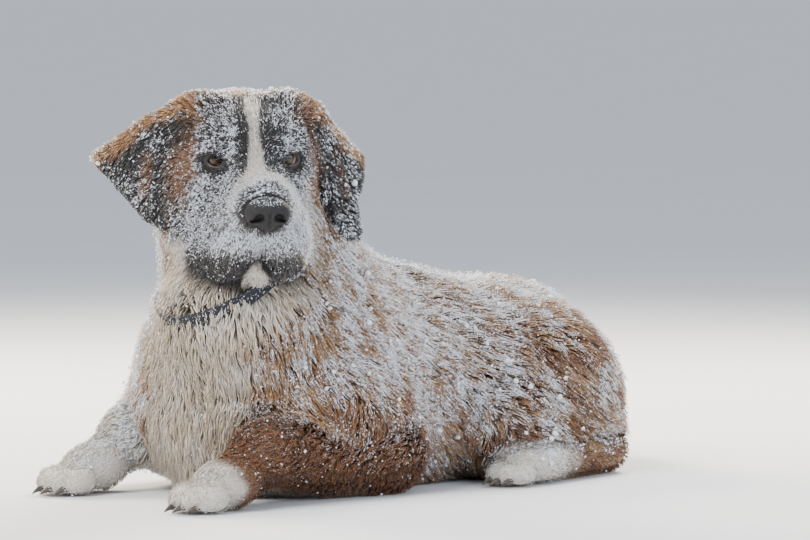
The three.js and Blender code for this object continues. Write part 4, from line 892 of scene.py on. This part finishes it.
# ---------------------------------------------------------------- eyes
def eye_material():
    m, nt, b = material('eye_wet', 0.04)
    b.inputs['Coat Weight'].default_value = 0.45; b.inputs['Coat Roughness'].default_value = 0.03; b.inputs['Specular IOR Level'].default_value = 0.22
    uvn = node(nt, 'ShaderNodeAttribute'); uvn.attribute_name = 'Iris'
    r = uvn.outputs['Fac']
    co = node(nt, 'ShaderNodeTexCoord').outputs['Object']
    fib = noisen(nt, 1400, 3, 0.7, co)
    iris = mixc(nt, fib, (0.022, 0.014, 0.009), (0.085, 0.054, 0.034))
    c = mixc(nt, ramp(nt, r, 0.36, 0.42), (0.004, 0.004, 0.005), iris)
    c = mixc(nt, ramp(nt, r, 0.86, 0.98), c, (0.012, 0.009, 0.008))
    c = mixc(nt, ramp(nt, r, 1.06, 1.30), c, (0.30, 0.22, 0.19))
    nt.links.new(c, b.inputs['Base Color'])
    return m
EYEM = eye_material()
for s, nm in ((1, 'eye_l'), (-1, 'eye_r')):
    nu, nv = 48, 32
    th = np.linspace(0, np.pi, nv + 1)[1:-1]; ph = np.arange(nu) / nu * 2 * np.pi
    look = np.array([-0.03 * s, 0, 0.0]) + FB @ HEAD['M']; look /= np.linalg.norm(look)
    bx = np.cross([0, 0, 1.0], look); bx /= np.linalg.norm(bx); by = np.cross(look, bx)
    ring = [(look * np.cos(t) + (bx * np.cos(p) + by * np.sin(p)) * np.sin(t), t) for t in th for p in ph]
    D = np.array([r[0] for r in ring] + [look, -look]); TH = np.array([r[1] for r in ring] + [0, np.pi])
    rad = EYE_R - 0.15 + 1.1 * np.exp(-(TH / 0.42) ** 2)
    C = EYE * np.array([s, 1, 1.0])
    P = (C + D * rad[:, None]) @ HEAD['M'].T + HEAD['T']
    f = []
    for j in range(len(th) - 1):
        for i in range(nu):
            a, b_ = j * nu + i, j * nu + (i + 1) % nu
            f.append([a, b_, b_ + nu]); f.append([a, b_ + nu, a + nu])
    top, bot = len(ring), len(ring) + 1
    for i in range(nu):
        f.append([top, (i + 1) % nu, i]); f.append([bot, (len(th) - 1) * nu + i, (len(th) - 1) * nu + (i + 1) % nu])
    f = np.array(f)[:, ::-1]
    R = TH / 0.68
    ob = make(nm + '_ball', P, f, cols={'Iris': np.stack([R, R, R], 1)})
    ob.data.materials.append(EYEM)
    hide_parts(nm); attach(ob, 'root')

# ---------------------------------------------------------------- nose
def nose_d(P):
    q = local(HEAD, P); x, y, z = np.abs(q[:, 0]), q[:, 1], q[:, 2]
    q = np.stack([x, y, z], 1)
    c0 = GROUP['nose']['P'][0]['c']
    q = c0 + (q - c0) / 0.87; x, y, z = q.T
    d = d_ell(q, dict(c=c0, r=np.array([27.5, 19, 20.0]), R=np.eye(3)))
    wing = d_ell(q, dict(c=np.array([17.5, -106, -36.0]), r=np.array([10.5, 12, 12.0]), R=np.eye(3)))
    d = smin(d, wing, 7)
    base = d_ell(q, dict(c=np.array([0, -104, -48.0]), r=np.array([11, 12, 9.0]), R=np.eye(3)))
    d = smin(d, base, 6)
    hole = d_ell(q, dict(c=np.array([12.2, -119, -38.0]), r=np.array([6.6, 11, 5.8]), R=rot(0, 15, -14)))
    slit = d_ell(q, dict(c=np.array([19.5, -113, -42.5]), r=np.array([6.0, 8, 2.2]), R=rot(0, 24, 30)))
    d = smax(d, -smin(hole, slit, 3), 2.0)
    d = d + 1.8 * np.exp(-(x / 1.3) ** 2) * step(-26, -34, z) * step(-108, -114, y)
    return 0.87 * d + 0.25 * np.sin(x * 2.1) * np.sin(y * 2.3) * np.sin(z * 2.2) * 0.6
nh = 0.9
lo = np.array([120, -400, 290.0]); n3_ = (np.array([205, -310, 365.0]) - lo) / nh
g = np.stack(np.meshgrid(*[np.arange(int(k)) for k in n3_], indexing='ij'), -1).reshape(-1, 3) * nh + lo
Fn = nose_d(g).reshape([int(k) for k in n3_]).astype(np.float32)
Vn, Qn = nets(Fn, lo, nh)
def nose_material():
    m, nt, b = material('nose_leather', 0.34)
    co = node(nt, 'ShaderNodeTexCoord').outputs['Object']
    v = node(nt, 'ShaderNodeTexVoronoi'); v.inputs['Scale'].default_value = 620; nt.links.new(co, v.inputs['Vector'])
    nt.links.new(bump(nt, v.outputs['Distance'], 0.7, 0.0007), b.inputs['Normal'])
    t = noisen(nt, 160, 3, 0.6, co)
    c = mixc(nt, t, (0.006, 0.0058, 0.006), (0.024, 0.022, 0.023))
    geo = attr(nt, 'Snow').outputs['Fac']
    gr = noisen(nt, 700, 2, 0.6, co)
    cov = mathn(nt, 'ADD', geo, mathn(nt, 'MULTIPLY', mathn(nt, 'SUBTRACT', gr, 0.5), 2.2))
    nt.links.new(mixc(nt, ramp(nt, cov, 0.75, 0.85), c, tuple(SNOW)), b.inputs['Base Color'])
    nt.links.new(ramp(nt, v.outputs['Distance'], -1.0, 1.2), b.inputs['Roughness'])
    b.inputs['Specular IOR Level'].default_value = 0.35
    return m
qn = local(HEAD, Vn)
ns = step(-31, -20, qn[:, 2]) * 0.62
nose = make('nose_pad', Vn, Qn, cols={'Snow': np.stack([ns] * 3, 1)})
nose.data.materials.append(nose_material())
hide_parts('nose'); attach(nose, 'root')

# ---------------------------------------------------------------- collar
CC = np.array([6, -238, 277.0]); CN = np.array([-0.05, -0.48, 0.87]); CN /= np.linalg.norm(CN)
cx = np.cross([0, 1, 0], CN); cx /= np.linalg.norm(cx); cy = np.cross(CN, cx)
steps = 160
an = np.arange(steps) / steps * 2 * np.pi
DD = np.cos(an)[:, None] * cx + np.sin(an)[:, None] * cy
lo_, hi_ = np.full(steps, 40.0), np.full(steps, 240.0)
for _ in range(24):
    r = (lo_ + hi_) / 2
    ins = whole(CC + DD * r[:, None], 1.0, ('nose', 'ear_l', 'ear_r', 'head')) < 0
    lo_ = np.where(ins, r, lo_); hi_ = np.where(ins, hi_, r)
frontness = 0.5 - 0.5 * np.sin(an - 0.4)
rr_ = lo_ - (18.5 - 12.0 * frontness ** 12)
rr_ = np.convolve(np.concatenate([rr_[-4:], rr_, rr_[:4]]), np.ones(9) / 9, 'valid')
sec = [(-8.8, -1.2), (-8.2, 1.3), (-7.0, 1.6), (-6.4, 1.2), (0, 1.3), (6.4, 1.2), (7.0, 1.6), (8.2, 1.3), (8.8, -1.2), (0, -1.4)]
PV = np.array([[CC + DD[i] * (rr_[i] + v) + CN * u for u, v in sec] for i in range(steps)]).reshape(-1, 3)
k = len(sec); f = []
for i in range(steps):
    for c in range(k):
        a, b_ = i * k + c, i * k + (c + 1) % k
        a2, b2 = ((i + 1) % steps) * k + c, ((i + 1) % steps) * k + (c + 1) % k
        f.append([a, b_, b2, a2])
uvw = np.array([[i / steps * 60, sec[c][0] / 10] for i in range(steps) for c in range(k)])
m, nt, b = material('collar_webbing', 0.72)
atn = attr(nt, 'Weave'); wv = node(nt, 'ShaderNodeTexWave'); wv.inputs['Scale'].default_value = 3.2; wv.inputs['Distortion'].default_value = 0.4
nt.links.new(atn.outputs['Vector'], wv.inputs['Vector'])
co = node(nt, 'ShaderNodeTexCoord').outputs['Object']
c = mixc(nt, wv.outputs['Fac'], (0.004, 0.005, 0.009), (0.014, 0.016, 0.026))
c = mixc(nt, ramp(nt, noisen(nt, 380, 3, 0.6, co), 0.60, 0.68), c, tuple(SNOW))
nt.links.new(c, b.inputs['Base Color']); nt.links.new(bump(nt, wv.outputs['Fac'], 0.5, 0.0008), b.inputs['Normal'])
collar = make('collar_band', PV, np.array(f), cols={'Weave': np.stack([uvw[:, 0], uvw[:, 1], 0 * uvw[:, 0]], 1)})
collar.data.materials.append(m)
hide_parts('collar'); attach(collar, 'root')

# ---------------------------------------------------------------- claws
m, nt, b = material('claw_horn', 0.42)
co = node(nt, 'ShaderNodeTexCoord').outputs['Object']
nt.links.new(mixc(nt, noisen(nt, 500, 3, 0.6, co), (0.025, 0.02, 0.018), (0.13, 0.10, 0.08)), b.inputs['Base Color'])
nt.links.new(bump(nt, noisen(nt, 1200, 2, 0.5, co), 0.4, 0.0004), b.inputs['Normal'])
CLAW_L, CLAW_R = 17.0, 4.2
for leg, foot in (('foreleg_l', 'fore_l'), ('foreleg_r', 'fore_r'), ('hindleg_l', 'hind_l'), ('hindleg_r', 'hind_r')):
    g = GROUP[leg]; flip = -1 if g['flip'] else 1
    toes = [p for p in g['P'] if p['n'].startswith('toe')]
    for i, p in enumerate(toes):
        yaw = p['rot'][2] * flip
        tip = p['c'] + p['R'] @ np.array([0, -p['r'][1] - p['f'] + 7, -2.5])
        at = np.array([tip[0] * flip, tip[1], max(tip[2], 9.5)])
        A_ = rot(0, 0, yaw)
        rows, sides = 10, 12; vv = []; ff = []
        for j in range(rows + 1):
            u_ = j / rows; r = CLAW_R * (1 - 0.82 * u_ ** 1.6); y_ = -u_ * CLAW_L; z_ = -5.5 * u_ * u_
            for s in range(sides):
                a = s / sides * 2 * np.pi
                vv.append(at + A_ @ np.array([r * 0.72 * np.cos(a), y_, z_ + r * np.sin(a)]))
        for j in range(rows):
            for s in range(sides):
                a, b_ = j * sides + s, j * sides + (s + 1) % sides
                ff += [[a, b_, b_ + sides], [a, b_ + sides, a + sides]]
        vv.append(at + A_ @ np.array([0, -CLAW_L - 0.8, -6.2])); vv.append(at)
        for s in range(sides):
            ff.append([rows * sides + s, rows * sides + (s + 1) % sides, len(vv) - 2]); ff.append([(s + 1) % sides, s, len(vv) - 1])
        ob = make('claw_%s_%d_horn' % (foot, i + 1), np.array(vv), np.array(ff))
        ob.data.materials.append(m)
        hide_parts('claw_%s_%d' % (foot, i + 1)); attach(ob, 'root')

# ---------------------------------------------------------------- floor, light, camera
bpy.ops.mesh.primitive_plane_add(size=600, location=(0, 0, 0))
floor = bpy.context.object; floor.name = 'floor'
m, nt, b = material('floor_pale', 0.8)
co = node(nt, 'ShaderNodeTexCoord').outputs['Object']
nt.links.new(mixc(nt, noisen(nt, 3, 2, 0.5, co), (0.80, 0.81, 0.83), (0.84, 0.85, 0.87)), b.inputs['Base Color'])
floor.data.materials.append(m)

w = bpy.data.worlds.new('studio'); bpy.context.scene.world = w; w.use_nodes = True
w.node_tree.nodes['Background'].inputs[0].default_value = (0.80, 0.86, 0.95, 1); w.node_tree.nodes['Background'].inputs[1].default_value = 0.85

def toward(ob, target):
    d = Vector(target) - ob.location; ob.rotation_euler = d.to_track_quat('-Z', 'Y').to_euler()
def area_light(name, loc, size, power, color, target=(0, -0.05, 0.2)):
    l = bpy.data.lights.new(name, 'AREA'); l.shape = 'RECTANGLE'; l.size, l.size_y = size; l.energy = power; l.color = color
    o = bpy.data.objects.new(name, l); o.location = loc; bpy.context.scene.collection.objects.link(o); toward(o, target)
    return o
TGT = (np.array([12, 12, 244.5]) - ORIGIN) / 1000
az, el, dist = math.radians(45), math.radians(3.5), 6.0
back = np.array([math.sin(az) * math.cos(el), -math.cos(az) * math.cos(el), math.sin(el)])
right = np.array([math.cos(az), math.sin(az), 0])
area_light('key', tuple(TGT + back * 1.6 - right * 1.6 + np.array([0, 0, 2.0])), (1.6, 1.6), 105, (1.0, 0.98, 0.95))
area_light('fill', tuple(TGT + back * 1.8 + right * 2.0 + np.array([0, 0, 1.0])), (2.0, 1.5), 34, (0.85, 0.92, 1.0))
area_light('rim_left', tuple(TGT - back * 1.5 - right * 1.5 + np.array([0, 0, 1.3])), (1.0, 1.0), 130, (1.0, 0.86, 0.66))
area_light('rim_right', tuple(TGT - back * 1.6 + right * 0.9 + np.array([0, 0, 1.6])), (1.2, 1.0), 120, (1.0, 0.93, 0.84))

cam = bpy.data.cameras.new('camera'); co_ = bpy.data.objects.new('camera', cam)
bpy.context.scene.collection.objects.link(co_)
co_.location = tuple(TGT + back * dist); toward(co_, tuple(TGT))
cam.sensor_fit = 'HORIZONTAL'; cam.sensor_width = 36.0; cam.lens = 5110 * 36 / 810
cam.clip_end = 1000
cam.dof.use_dof = False
bpy.context.scene.camera = co_
bpy.context.scene.view_settings.view_transform = 'AgX'

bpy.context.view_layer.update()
